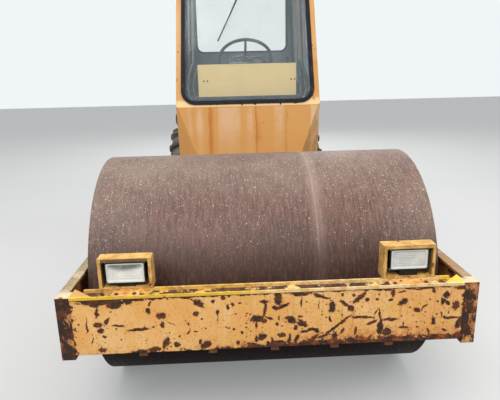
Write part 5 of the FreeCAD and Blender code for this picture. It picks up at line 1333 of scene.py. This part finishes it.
class ROLLER_OT_tyres(bpy.types.Operator):
    """Round tyres with ribbed side walls and swept lugs, left and right"""

    bl_idname = "roller.tyres"
    bl_label = "Tyres"

    def execute(self, context):
        half = [
            (0.125, 0.316), (0.132, 0.33), (0.136, 0.344), (0.1405, 0.347), (0.1415, 0.354), (0.138, 0.358),
            (0.146, 0.392), (0.15, 0.43), (0.1505, 0.436), (0.1505, 0.444), (0.148, 0.45), (0.146, 0.466),
            (0.14, 0.488), (0.128, 0.514), (0.11, 0.533), (0.07, 0.541), (0.0, 0.543),
        ]
        outline = [(-along, radius) for along, radius in half] + half[-2::-1]
        outline += [(0.1, 0.32), (-0.1, 0.32), outline[0]]
        tread = 0.575
        sweep = math.tan(math.radians(28)) / tread
        rows = 17
        for side, word in ((-1, "left"), (1, "right")):
            middle = WHEEL_AXIS + Vector((side * 0.605, 0, 0))
            carcass = smooth(lathe("carcass", outline, middle, (1, 0, 0), 128), 50)
            lug = block("lug", (-0.012, -0.021, 0.515), (-0.006, 0.021, tread))
            pick(lug, DOWN)
            bpy.ops.transform.resize(value=(1, 1.25, 1), center_override=(0, 0, 0.515))
            before = -0.012
            for reach, rise, shape in ((0.05, 0.0, 1.0), (0.114, 0.0, 1.0), (0.1495, -0.02, 0.86)):
                pick(lug, RIGHT)
                bpy.ops.mesh.extrude_region_move(
                    TRANSFORM_OT_translate={"value": (reach - (before if before > 0 else -0.006), 0, 0)}
                )
                bpy.ops.transform.rotate(
                    value=-(reach - before) * sweep, orient_axis="X", center_override=(0, 0, 0),
                )
                if rise:
                    bpy.ops.transform.resize(value=(1, 0.9, shape), center_override=(0, 0, 0.44))
                clear()
                before = reach
            rounded(lug, 0.004, 2, 25)
            moves = []
            for i in range(rows):
                for turned, flip in ((i, 1), (i + 0.5, -1)):
                    spin = Matrix.Rotation(2 * math.pi * turned / rows, 4, "X")
                    moves.append(Matrix.Translation(middle) @ spin @ Matrix.Diagonal((flip, 1, 1, 1)))
            lugs = smooth(copies(lug, "lugs", moves), 30)
            tyre = join([carcass, lugs], f"tyre_{word}_tread")
            wear(tyre, f"wheel_{word}", "tyre_rubber", tyre_rubber, f"tyre_{word}")
        return {"FINISHED"}


class ROLLER_OT_wheel_hubs(bpy.types.Operator):
    """Wheel nuts, hub caps and their bolts"""

    bl_idname = "roller.wheel_hubs"
    bl_label = "Wheel hubs"

    def execute(self, context):
        nut = sizes().bolt
        for side, word in ((-1, "left"), (1, "right")):
            face = WHEEL_AXIS + Vector((side * 0.561, 0, 0))
            way = (side, 0, 0)
            bolts(f"wheel_nuts_{word}", f"wheel_{word}", nut, 0.022, ring(face, way, 0.128, 10))
            hub = WHEEL_AXIS + Vector((side * 0.615, 0, 0))
            outline = [(-0.004, 0), (-0.004, 0.05), (0.01, 0.05), (0.02, 0.042), (0.03, 0.02), (0.033, 0)]
            cap = lathe("cap", outline, hub, way, 48)
            plug = facing(hub + Vector((side * 0.032, 0, 0)), way)
            cap = smooth(join([cap, copies(hexagon(0.022, 0.012), "plug", [plug])], f"hub_cap_{word}"), 40)
            wear(cap, f"wheel_{word}", "rim_paint", rim_paint)
            bolts(f"hub_bolts_{word}", f"wheel_{word}", 0.016, 0.01, ring(hub, way, 0.068, 8))
        return {"FINISHED"}


class ROLLER_OT_drum_bolts(bpy.types.Operator):
    """Bolts of the drum's hubs, of its motors and of the crossbeam"""

    bl_idname = "roller.drum_bolts"
    bl_label = "Drum bolts"

    def execute(self, context):
        width = sizes().bolt
        hubs, motors = [], []
        for side in (-1, 1):
            hubs += ring(DRUM_AXIS + Vector((side * 0.69, 0, 0)), (side, 0, 0), 0.09, 8)
            motors += ring(DRUM_AXIS + Vector((side * 0.876, 0, 0)), (side, 0, 0), 0.069, 6)
        bolts("drum_hub_bolts", "drum", 0.024, 0.016, hubs, rusty_steel)
        bolts("drum_motor_bolts", "drum_frame", 0.018, 0.012, motors)
        beam = [((x, -0.654, z), (0, 1, 0)) for x in (-0.82, -0.74, 0.74, 0.82) for z in (0.53, 0.625, 0.72)]
        bolts("crossbeam_bolts", "drum_frame", width, 0.02, beam)
        bolts("bearing_bolts", "drum_frame", 0.024, 0.014, ring((0, -0.604, 0.6), (0, 1, 0), 0.105, 10))
        return {"FINISHED"}


class ROLLER_OT_lamp_feet(bpy.types.Operator):
    """Bent foot plates that bolt the lamp guards to the front beam"""

    bl_idname = "roller.lamp_feet"
    bl_label = "Feet of the lamp guards"

    def execute(self, context):
        feet, places = [], []
        for low, high in ((-0.672, -0.552), (0.52, 0.7)):
            foot = block("foot", (low, -2.3668, 0.7655), (high, -2.30, 0.7715))
            edit(foot, everything, bpy.ops.mesh.subdivide, number_cuts=6)
            edit(foot, REAR, bpy.ops.transform.translate, value=(0, 0, 0.009))
            feet.append(rounded(foot, 0.0015, 2, 50))
            places += [((low + 0.022, -2.345, 0.7715), (0, 0, 1)), ((high - 0.022, -2.345, 0.7715), (0, 0, 1))]
        wear(smooth(join(feet, "lamp_guard_feet")), "drum_frame", "worn_yellow", foot_paint)
        bolts("lamp_foot_bolts", "drum_frame", 0.013, 0.006, places, rusty_steel)
        return {"FINISHED"}


class ROLLER_OT_cab_fittings(bpy.types.Operator):
    """Door rubbers and locks, board screws, strips and corner trim inside the windscreen"""

    bl_idname = "roller.cab_fittings"
    bl_label = "Cab fittings"

    def execute(self, context):
        for side, word in ((-1, "left"), (1, "right")):
            rubber = copied(f"door_glass_{word}", f"door_rubber_{word}")
            edit(rubber, everything, bpy.ops.mesh.dissolve_limited, angle_limit=math.radians(4))
            pick(rubber, ALONG_X)
            bpy.ops.mesh.inset(thickness=0.02)
            bpy.ops.mesh.delete(type="FACE")
            clear()
            edit(rubber, lambda middle, normal: abs(normal.x) < 0.9, bpy.ops.mesh.delete, type="FACE")
            finished(rubber, "SOLIDIFY", thickness=0.014, offset=1.0, use_even_offset=True)
            rounded(rubber, 0.003, 2, 50)
            wear(smooth(rubber), f"door_{word}", "black_rubber", black_rubber)
            skin = side * 0.5605
            plate = block("plate", (skin - 0.0035, -0.285, 1.265), (skin + 0.0035, -0.195, 1.4))
            bevel(plate, ALONG_X, 0.02, 4)
            bow = (0.56, 1.375), (0.583, 1.376), (0.586, 1.34), (0.586, 1.31), (0.58, 1.285), (0.563, 1.284)
            grip = [(side * x, -0.24, z) for x, z in bow]
            button = rod("button", 0.011, (side * 0.558, -0.24, 1.33), (side * 0.573, -0.24, 1.33), 24)
            inset(button, ALONG_X, 0.003, -0.002)
            lock = join([rounded(plate, 0.0015, 2, 50), bar("grip", 0.0075, grip), button], f"door_lock_{word}")
            wear(smooth(lock, 40), f"door_{word}", "dark_plastic", dark_plastic)
        screws = [((x, -0.373, 1.631), (0, -1, 0)) for x in (-0.342, -0.314, 0.347, 0.375)]
        bolts("board_screws", "chassis", 0.009, 0.003, screws, rusty_steel)
        for name, low, high, maker in (
            ("cab_strip_left", (-0.43, 1.78), (-0.414, 2.62), lining),
            ("cab_strip_right", (0.458, 1.78), (0.472, 2.62), lining),
            ("cab_post_strip", (0.408, 1.77), (0.437, 2.6), brown_strip),
        ):
            front = CAB_FRONT + (low[1] - CAB_SILL) * CAB_LEAN + 0.075
            strip = block(name, (low[0], front, low[1]), (high[0], front + 0.012, high[1]))
            away = -math.copysign(0.02, low[0])
            edit(strip, UP, bpy.ops.transform.translate, value=(away, (high[1] - low[1]) * CAB_LEAN, 0))
            wear(smooth(rounded(strip, 0.004, 3)), "chassis", "cream_paint", maker)
        curved = []
        for side in (-1, 1):
            for thick, path in (
                (0.014, [(0.44, -0.4, 1.48), (0.475, -0.385, 1.56), (0.462, -0.37, 1.68), (0.415, -0.35, 1.78)]),
                (0.009, [(0.413, -0.38, 1.5), (0.43, -0.365, 1.58), (0.418, -0.35, 1.67), (0.383, -0.33, 1.74)]),
            ):
                curved.append(bar("trim", thick, [(side * x, y, z) for x, y, z in path]))
        wear(join(curved, "cab_corner_trim"), "chassis", "dark_plastic", shiny_trim)
        return {"FINISHED"}


class ROLLER_OT_cab_inside(bpy.types.Operator):
    """Gauge pod, pedals, mat and headliner"""

    bl_idname = "roller.cab_inside"
    bl_label = "Inside of the cab"

    def execute(self, context):
        hoods = [rounded(block("pod", (-0.15, -0.32, 1.505), (0.165, -0.245, 1.775)), 0.012, 3)]
        for x, reach, top in ((-0.052, 0.078, 1.806), (0.088, 0.062, 1.803)):
            arch = (-reach, 1.765), (-reach, top), (0, top + 0.012), (reach, top), (reach, 1.765)
            hoods.append(bar("hood", 0.007, [(x + away, -0.25, z) for away, z in arch]))
            outline = [(0, 0), (0, 0.045), (0.008, 0.05), (0.014, 0.047), (0.008, 0.042), (0.004, 0)]
            hoods.append(lathe("gauge", outline, (x, -0.247, 1.7), (0, 1, 0), 40))
        wear(smooth(join(hoods, "gauge_pod"), 40), "chassis", "dark_plastic", shiny_trim)
        pedals = []
        for x in (-0.14, 0.14):
            plate = block("pedal", (x - 0.035, -0.29, 1.02), (x + 0.035, -0.276, 1.13))
            inset(plate, REAR, 0.006, 0.003)
            lever = bar("lever", 0.008, [(x, -0.285, 1.05), (x, -0.32, 1.0), (x, -0.34, 0.935)])
            pedals += [rounded(plate, 0.002, 2), lever]
        wear(smooth(join(pedals, "pedals"), 40), "chassis", "dark_steel", dark_steel)
        mat = block("cab_mat", (-0.36, -0.3, 0.9295), (0.36, 0.1, 0.937))
        bevel(mat, ALONG_Z, 0.03, 4)
        wear(smooth(rounded(mat, 0.002, 2, 50)), "chassis", "black_rubber", floor_mat)
        liner = block("headliner", (-0.46, -0.2, 2.664), (0.46, 0.84, 2.689))
        inset(liner, DOWN, 0.05, -0.006)
        inset(liner, lambda middle, normal: normal.z < -0.9 and abs(middle.x) < 0.1, 0.01, 0.008)
        wear(smooth(rounded(liner, 0.005, 3)), "chassis", "cream_paint", lining)
        return {"FINISHED"}


class ROLLER_OT_hood_fittings(bpy.types.Operator):
    """Louvre lips, latches and handle of the engine hood, mesh behind its grille, rain cap of the stack"""

    bl_idname = "roller.hood_fittings"
    bl_label = "Hood fittings"

    def execute(self, context):
        lip = block("lip", (0.4385, 1.104, 1.089), (0.4425, 1.618, 1.095))
        pick(lip, RIGHT)
        bpy.ops.mesh.extrude_region_move(TRANSFORM_OT_translate={"value": (0.012, 0, -0.006)})
        bpy.ops.mesh.extrude_region_move(TRANSFORM_OT_translate={"value": (0.003, 0, -0.008)})
        clear()
        rounded(lip, 0.0012, 2, 30)
        lips = mirrored(copies(lip, "lips", spaced((0, 0, 0.066), 7)), "hood_louvre_lips")
        wear(smooth(lips), "hood", "worn_yellow", machine_paint)
        latch = block("latch", (0.438, 1.275, 0.93), (0.449, 1.309, 1.0))
        rounded(latch, 0.004, 3)
        bow = (0.449, 0.985), (0.458, 0.975), (0.456, 0.94), (0.447, 0.928)
        strap = bar("strap", 0.006, [(x, 1.292, z) for x, z in bow])
        both_ends = copies(join([latch, strap], "latch"), "latches", spaced((0, 0.66, 0), 2))
        wear(smooth(mirrored(both_ends, "hood_latches"), 40), "hood", "black_rubber", black_rubber)
        bow = (-0.09, 2.206), (-0.09, 2.236), (-0.07, 2.236), (0.07, 2.236), (0.09, 2.236), (0.09, 2.206)
        handle = bar("hood_handle", 0.009, [(x, y, 1.55) for x, y in bow])
        wear(handle, "hood", "dark_steel", dark_steel)
        mesh = block("grille_mesh", (-0.352, 2.186, 1.003), (0.352, 2.1885, 1.512))
        inset(mesh, ALONG_Y, 0.012, 0.001)
        wear(mesh, "hood", "dark_steel", sheet_mesh)
        hinge = rod("hinge", 0.006, (0.222, 1.165, 1.795), (0.298, 1.165, 1.795), 16)
        outline = [(0, 0), (0, 0.041), (0.002, 0.043), (0.004, 0.041), (0.007, 0)]
        flap = lathe("flap", outline, (0, 0, 0), (0, 0, 1), 40)
        flap.data.transform(facing((0.26, 1.142, 1.779), (0, -0.55, 1)))
        settle(flap)
        wear(smooth(join([hinge, flap], "stack_cap"), 40), "hood", "dark_steel", dark_steel)
        return {"FINISHED"}


class ROLLER_OT_engine_parts(bpy.types.Operator):
    """Rocker cover, manifold, filters, pulleys, belt and fan under the hood, and the radiator's fins"""

    bl_idname = "roller.engine_parts"
    bl_label = "Engine parts"

    def execute(self, context):
        cover = block("cover", (-0.1, 1.3, 1.365), (0.06, 1.76, 1.43))
        inset(cover, UP, 0.02, 0.012)
        parts = [rounded(cover, 0.01, 3)]
        for y in (1.36, 1.48, 1.6, 1.72):
            parts.append(bar("runner", 0.022, [(0.06, y, 1.3), (0.16, y, 1.34), (0.24, y, 1.36), (0.27, y, 1.36)], 16))
        parts.append(rod("manifold", 0.032, (0.27, 1.3, 1.36), (0.27, 1.78, 1.36), 28))
        outline = [
            (0, 0), (0, 0.07), (0.01, 0.08), (0.06, 0.08), (0.065, 0.084), (0.075, 0.084), (0.08, 0.08), (0.3, 0.08),
            (0.31, 0.07), (0.31, 0),
        ]
        cleaner = lathe("cleaner", outline, (-0.24, 1.36, 1.45), (0, 1, 0), 40)
        outline = [(0, 0), (0, 0.034), (0.006, 0.04), (0.1, 0.04), (0.112, 0.03), (0.112, 0)]
        filters = [lathe("oil", outline, (-0.375, y, 0.99), (0, 0, -1), 32) for y in (1.4, 1.52)]
        wear(smooth(join(parts, "engine_top"), 40), "chassis", "engine_paint", engine_paint)
        wear(smooth(join([cleaner] + filters, "engine_filters"), 40), "chassis", "dark_steel", dark_plastic)
        pulleys = []
        for x, z, radius in ((0.0, 0.82, 0.085), (0.0, 1.1, 0.065), (0.2, 1.2, 0.04)):
            outline = [
                (0, 0), (0, radius), (0.005, radius), (0.012, radius - 0.01), (0.019, radius), (0.024, radius),
                (0.024, 0.02), (0.03, 0.02), (0.03, 0),
            ]
            pulleys.append(lathe("pulley", outline, (x, 1.821, z), (0, 1, 0), 40))
        loop = (
            (-0.075, 0.8), (-0.06, 1.1), (-0.03, 1.17), (0.05, 1.17), (0.18, 1.245), (0.24, 1.22), (0.235, 1.15),
            (0.08, 0.84), (0.06, 0.745), (-0.05, 0.745), (-0.075, 0.8),
        )
        belt = bar("belt", 0.006, [(x, 1.833, z) for x, z in loop])
        alternator = rounded(rod("alternator", 0.05, (0.2, 1.7, 1.2), (0.2, 1.815, 1.2), 32), 0.008, 2)
        wear(smooth(join(pulleys + [alternator], "engine_pulleys"), 40), "chassis", "dark_steel", dark_steel)
        wear(belt, "chassis", "black_rubber", black_rubber)
        blade = block("blade", (-0.03, 1.868, 1.13), (0.03, 1.873, 1.34))
        edit(blade, UP, bpy.ops.transform.resize, value=(1.7, 1, 1), center_override=(0, 1.87, 1.34))
        centre = Matrix.Translation((0, 1.87, 1.1))
        blade.data.transform(centre @ Matrix.Rotation(0.45, 4, "Z") @ centre.inverted())
        moves = [centre @ Matrix.Rotation(math.pi * i / 3, 4, "Y") @ centre.inverted() for i in range(6)]
        fan = copies(rounded(blade, 0.0015, 1), "fan", moves)
        outline = [(-0.045, 0), (-0.045, 0.05), (0.0, 0.055), (0.02, 0.05), (0.026, 0)]
        hub = lathe("hub", outline, (0, 1.87, 1.1), (0, 1, 0), 32)
        wear(smooth(join([fan, hub], "cooling_fan")), "chassis", "dark_plastic", dark_plastic)
        fin = block("fin", (-0.3, 2.0805, 0.75), (-0.2985, 2.086, 1.42))
        fins = copies(rounded(fin, 0.0003, 1), "fins", spaced((0.012, 0, 0), 50))
        tube = block("tube", (-0.305, 2.0805, 0.76), (0.305, 2.0845, 0.764))
        tubes = copies(rounded(tube, 0.0008, 1), "tubes", spaced((0, 0, 0.022), 30))
        wear(join([fins, tubes], "radiator_fins"), "chassis", "dark_steel", dark_steel)
        return {"FINISHED"}


class ROLLER_OT_outside_fittings(bpy.types.Operator):
    """Step teeth, tank straps, tail-lamp frames, and bolts of the rear block and the hitch pin"""

    bl_idname = "roller.outside_fittings"
    bl_label = "Outside fittings"

    def execute(self, context):
        tooth = rod("tooth", 0.0075, (0, 0, -0.001), (0, 0, 0.005), 10, 0.005)
        inset(tooth, UP, 0.002, -0.002)
        moves = []
        for side in (-1, 1):
            for height in (0.412, 0.652):
                for i in range(5):
                    for j in range(8):
                        moves.append(Matrix.Translation((side * (0.628 + 0.034 * i), -0.04 + 0.032 * j, height)))
        wear(copies(tooth, "step_teeth", moves), "chassis", "dark_steel", dark_steel)
        straps = []
        for y in (1.62, 2.06):
            strap = block("strap", (0.7385, y - 0.02, 0.66), (0.7425, y + 0.02, 1.06))
            straps.append(rounded(strap, 0.0015, 2, 50))
        wear(smooth(mirrored(join(straps, "straps"), "tank_straps")), "chassis", "dark_steel", dark_steel)
        ends = [((side * 0.742, y, z), (side, 0, 0)) for side in (-1, 1) for y in (1.62, 2.06) for z in (0.7, 1.02)]
        bolts("tank_strap_bolts", "chassis", 0.016, 0.01, ends)
        low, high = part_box("tail_lamps")
        near, far = (high.x - 0.136, low.y - 0.004, low.z - 0.006), (high.x + 0.006, high.y - 0.006, high.z + 0.006)
        edge = block("edge", near, far)
        hole = block("hole", (high.x - 0.13, low.y - 0.01, low.z), (high.x, high.y + 0.01, high.z))
        cut(edge, hole)
        rib = block("rib", (high.x - 0.068, low.y, low.z - 0.002), (high.x - 0.064, high.y + 0.0005, high.z + 0.002))
        frames = mirrored(join([rounded(edge, 0.0015, 2, 50), rounded(rib, 0.001, 1, 50)], "edge"), "tail_lamp_frames")
        wear(smooth(frames), "chassis", "black_rubber", lamp_shell)
        top = [((x, y, 0.904), (0, 0, 1)) for x in (-0.3, 0.3) for y in (2.26, 2.33)]
        bolts("rear_block_bolts", "chassis", sizes().bolt, 0.02, top, dark_steel)
        pin = ring((0, -0.334, 0.775), (0, 0, 1), 0.03, 3)
        bolts("hitch_pin_bolts", "chassis", 0.014, 0.008, pin)
        return {"FINISHED"}


class ROLLER_OT_stage(bpy.types.Operator):
    """Pale floor, soft studio light and the camera at the photograph's place"""

    bl_idname = "roller.stage"
    bl_label = "Stage"

    def execute(self, context):
        clear()
        bpy.ops.mesh.primitive_plane_add(size=60, location=(0, 0, 0))
        floor = bpy.context.object
        floor.name = "floor"
        r = Recipe("floor_paint", roughness=0.9)
        path = r.node("LightPath", {})
        seen = r.either(path.outputs["Is Camera Ray"], path.outputs["Is Glossy Ray"])
        seen = r.either(seen, path.outputs["Is Transmission Ray"])
        pale = r.mix(r.noise(0.6, 3), rgb(176, 176, 174), rgb(184, 184, 182))
        r.shader.inputs["Emission Color"].default_value = (0.19, 0.193, 0.196, 1.0)
        r.feed(r.shader.inputs["Emission Strength"], seen)
        floor.data.materials.append(r.done(r.mix(seen, rgb(96, 94, 92), pale), None, r.bump(r.noise(30, 3), 0.001)))
        world = bpy.data.worlds.new("studio")
        context.scene.world = world
        world.use_nodes = True
        nodes, links = world.node_tree.nodes, world.node_tree.links
        soft = nodes["Background"]
        soft.inputs["Color"].default_value = (0.94, 0.97, 1.0, 1.0)
        soft.inputs["Strength"].default_value = 0.55
        plain = nodes.new("ShaderNodeBackground")
        plain.inputs["Color"].default_value = rgb(240, 246, 247)
        plain.inputs["Strength"].default_value = 1.0
        path = nodes.new("ShaderNodeLightPath")
        seen = path.outputs["Is Camera Ray"]
        for other in ("Is Glossy Ray", "Is Transmission Ray"):
            either = nodes.new("ShaderNodeMath")
            either.operation = "MAXIMUM"
            links.new(seen, either.inputs[0])
            links.new(path.outputs[other], either.inputs[1])
            seen = either.outputs[0]
        choice = nodes.new("ShaderNodeMixShader")
        links.new(seen, choice.inputs[0])
        links.new(soft.outputs[0], choice.inputs[1])
        links.new(plain.outputs[0], choice.inputs[2])
        links.new(choice.outputs[0], nodes["World Output"].inputs["Surface"])
        for name, place, target, size, power in (
            ("key", (-2.0, -7.5, 6.5), (0, -1.5, 0.8), 5.0, 430),
            ("above", (0.0, -1.0, 7.5), (0, -1.0, 0), 8.0, 230),
            ("fill", (6.0, -3.0, 4.5), (0, 0, 1.0), 5.0, 130),
            ("back", (1.0, 8.0, 6.0), (0, 1.0, 1.2), 5.0, 300),
        ):
            clear()
            way = Vector(target) - Vector(place)
            bpy.ops.object.light_add(type="AREA", location=place, rotation=way.to_track_quat("-Z", "Y").to_euler())
            lamp = bpy.context.object
            lamp.name = name
            lamp.data.shape = "DISK"
            lamp.data.size = size
            lamp.data.energy = power
        yaw, pitch, roll = (math.radians(a) for a in (2.15, 14.41, 1.36))
        ahead = Vector((math.sin(yaw) * math.cos(pitch), math.cos(yaw) * math.cos(pitch), -math.sin(pitch)))
        right = Vector((math.cos(yaw), -math.sin(yaw), 0))
        down = ahead.cross(right)
        across = math.cos(roll) * right + math.sin(roll) * down
        below = math.cos(roll) * down - math.sin(roll) * right
        turn = Matrix((across, -below, -ahead)).transposed().to_4x4()
        clear()
        bpy.ops.object.camera_add()
        camera = bpy.context.object
        camera.name = "photo_camera"
        camera.matrix_world = Matrix.Translation((-0.145, -4.196, 1.640)) @ turn
        camera.data.sensor_width = 36
        camera.data.lens = 33.93
        camera.data.dof.use_dof = False
        context.scene.camera = camera
        context.scene.view_settings.view_transform = "Standard"
        return {"FINISHED"}


class ROLLER_PT_panel(bpy.types.Panel):
    """Buttons for each group of pieces, with their colours and sizes"""

    bl_idname = "ROLLER_PT_panel"
    bl_label = "Road roller"
    bl_space_type = "VIEW_3D"
    bl_region_type = "UI"
    bl_category = "Roller"

    def draw(self, context):
        for operator in OPERATORS:
            self.layout.operator(operator.bl_idname)
        for group in (context.scene.roller_sizes, context.scene.roller_colours):
            box = self.layout.box()
            for name in group.__annotations__:
                box.prop(group, name)


OPERATORS = [
    ROLLER_OT_finishes,
    ROLLER_OT_drum_skin,
    ROLLER_OT_drum_bolts,
    ROLLER_OT_headlamps,
    ROLLER_OT_lamp_feet,
    ROLLER_OT_tyres,
    ROLLER_OT_wheel_hubs,
    ROLLER_OT_cab_fittings,
    ROLLER_OT_cab_inside,
    ROLLER_OT_hood_fittings,
    ROLLER_OT_engine_parts,
    ROLLER_OT_outside_fittings,
    ROLLER_OT_steering_wheel,
    ROLLER_OT_seat_pads,
    ROLLER_OT_stage,
]
CLASSES = [RollerColours, RollerSizes, *OPERATORS, ROLLER_PT_panel]


def register():
    for each in CLASSES:
        bpy.utils.register_class(each)
    bpy.types.Scene.roller_colours = bpy.props.PointerProperty(type=RollerColours)
    bpy.types.Scene.roller_sizes = bpy.props.PointerProperty(type=RollerSizes)


def unregister():
    del bpy.types.Scene.roller_colours
    del bpy.types.Scene.roller_sizes
    for each in reversed(CLASSES):
        bpy.utils.unregister_class(each)


def main():
    register()
    for operator in OPERATORS:
        group, name = operator.bl_idname.split(".")
        getattr(getattr(bpy.ops, group), name)()


if __name__ == "__main__":
    main()
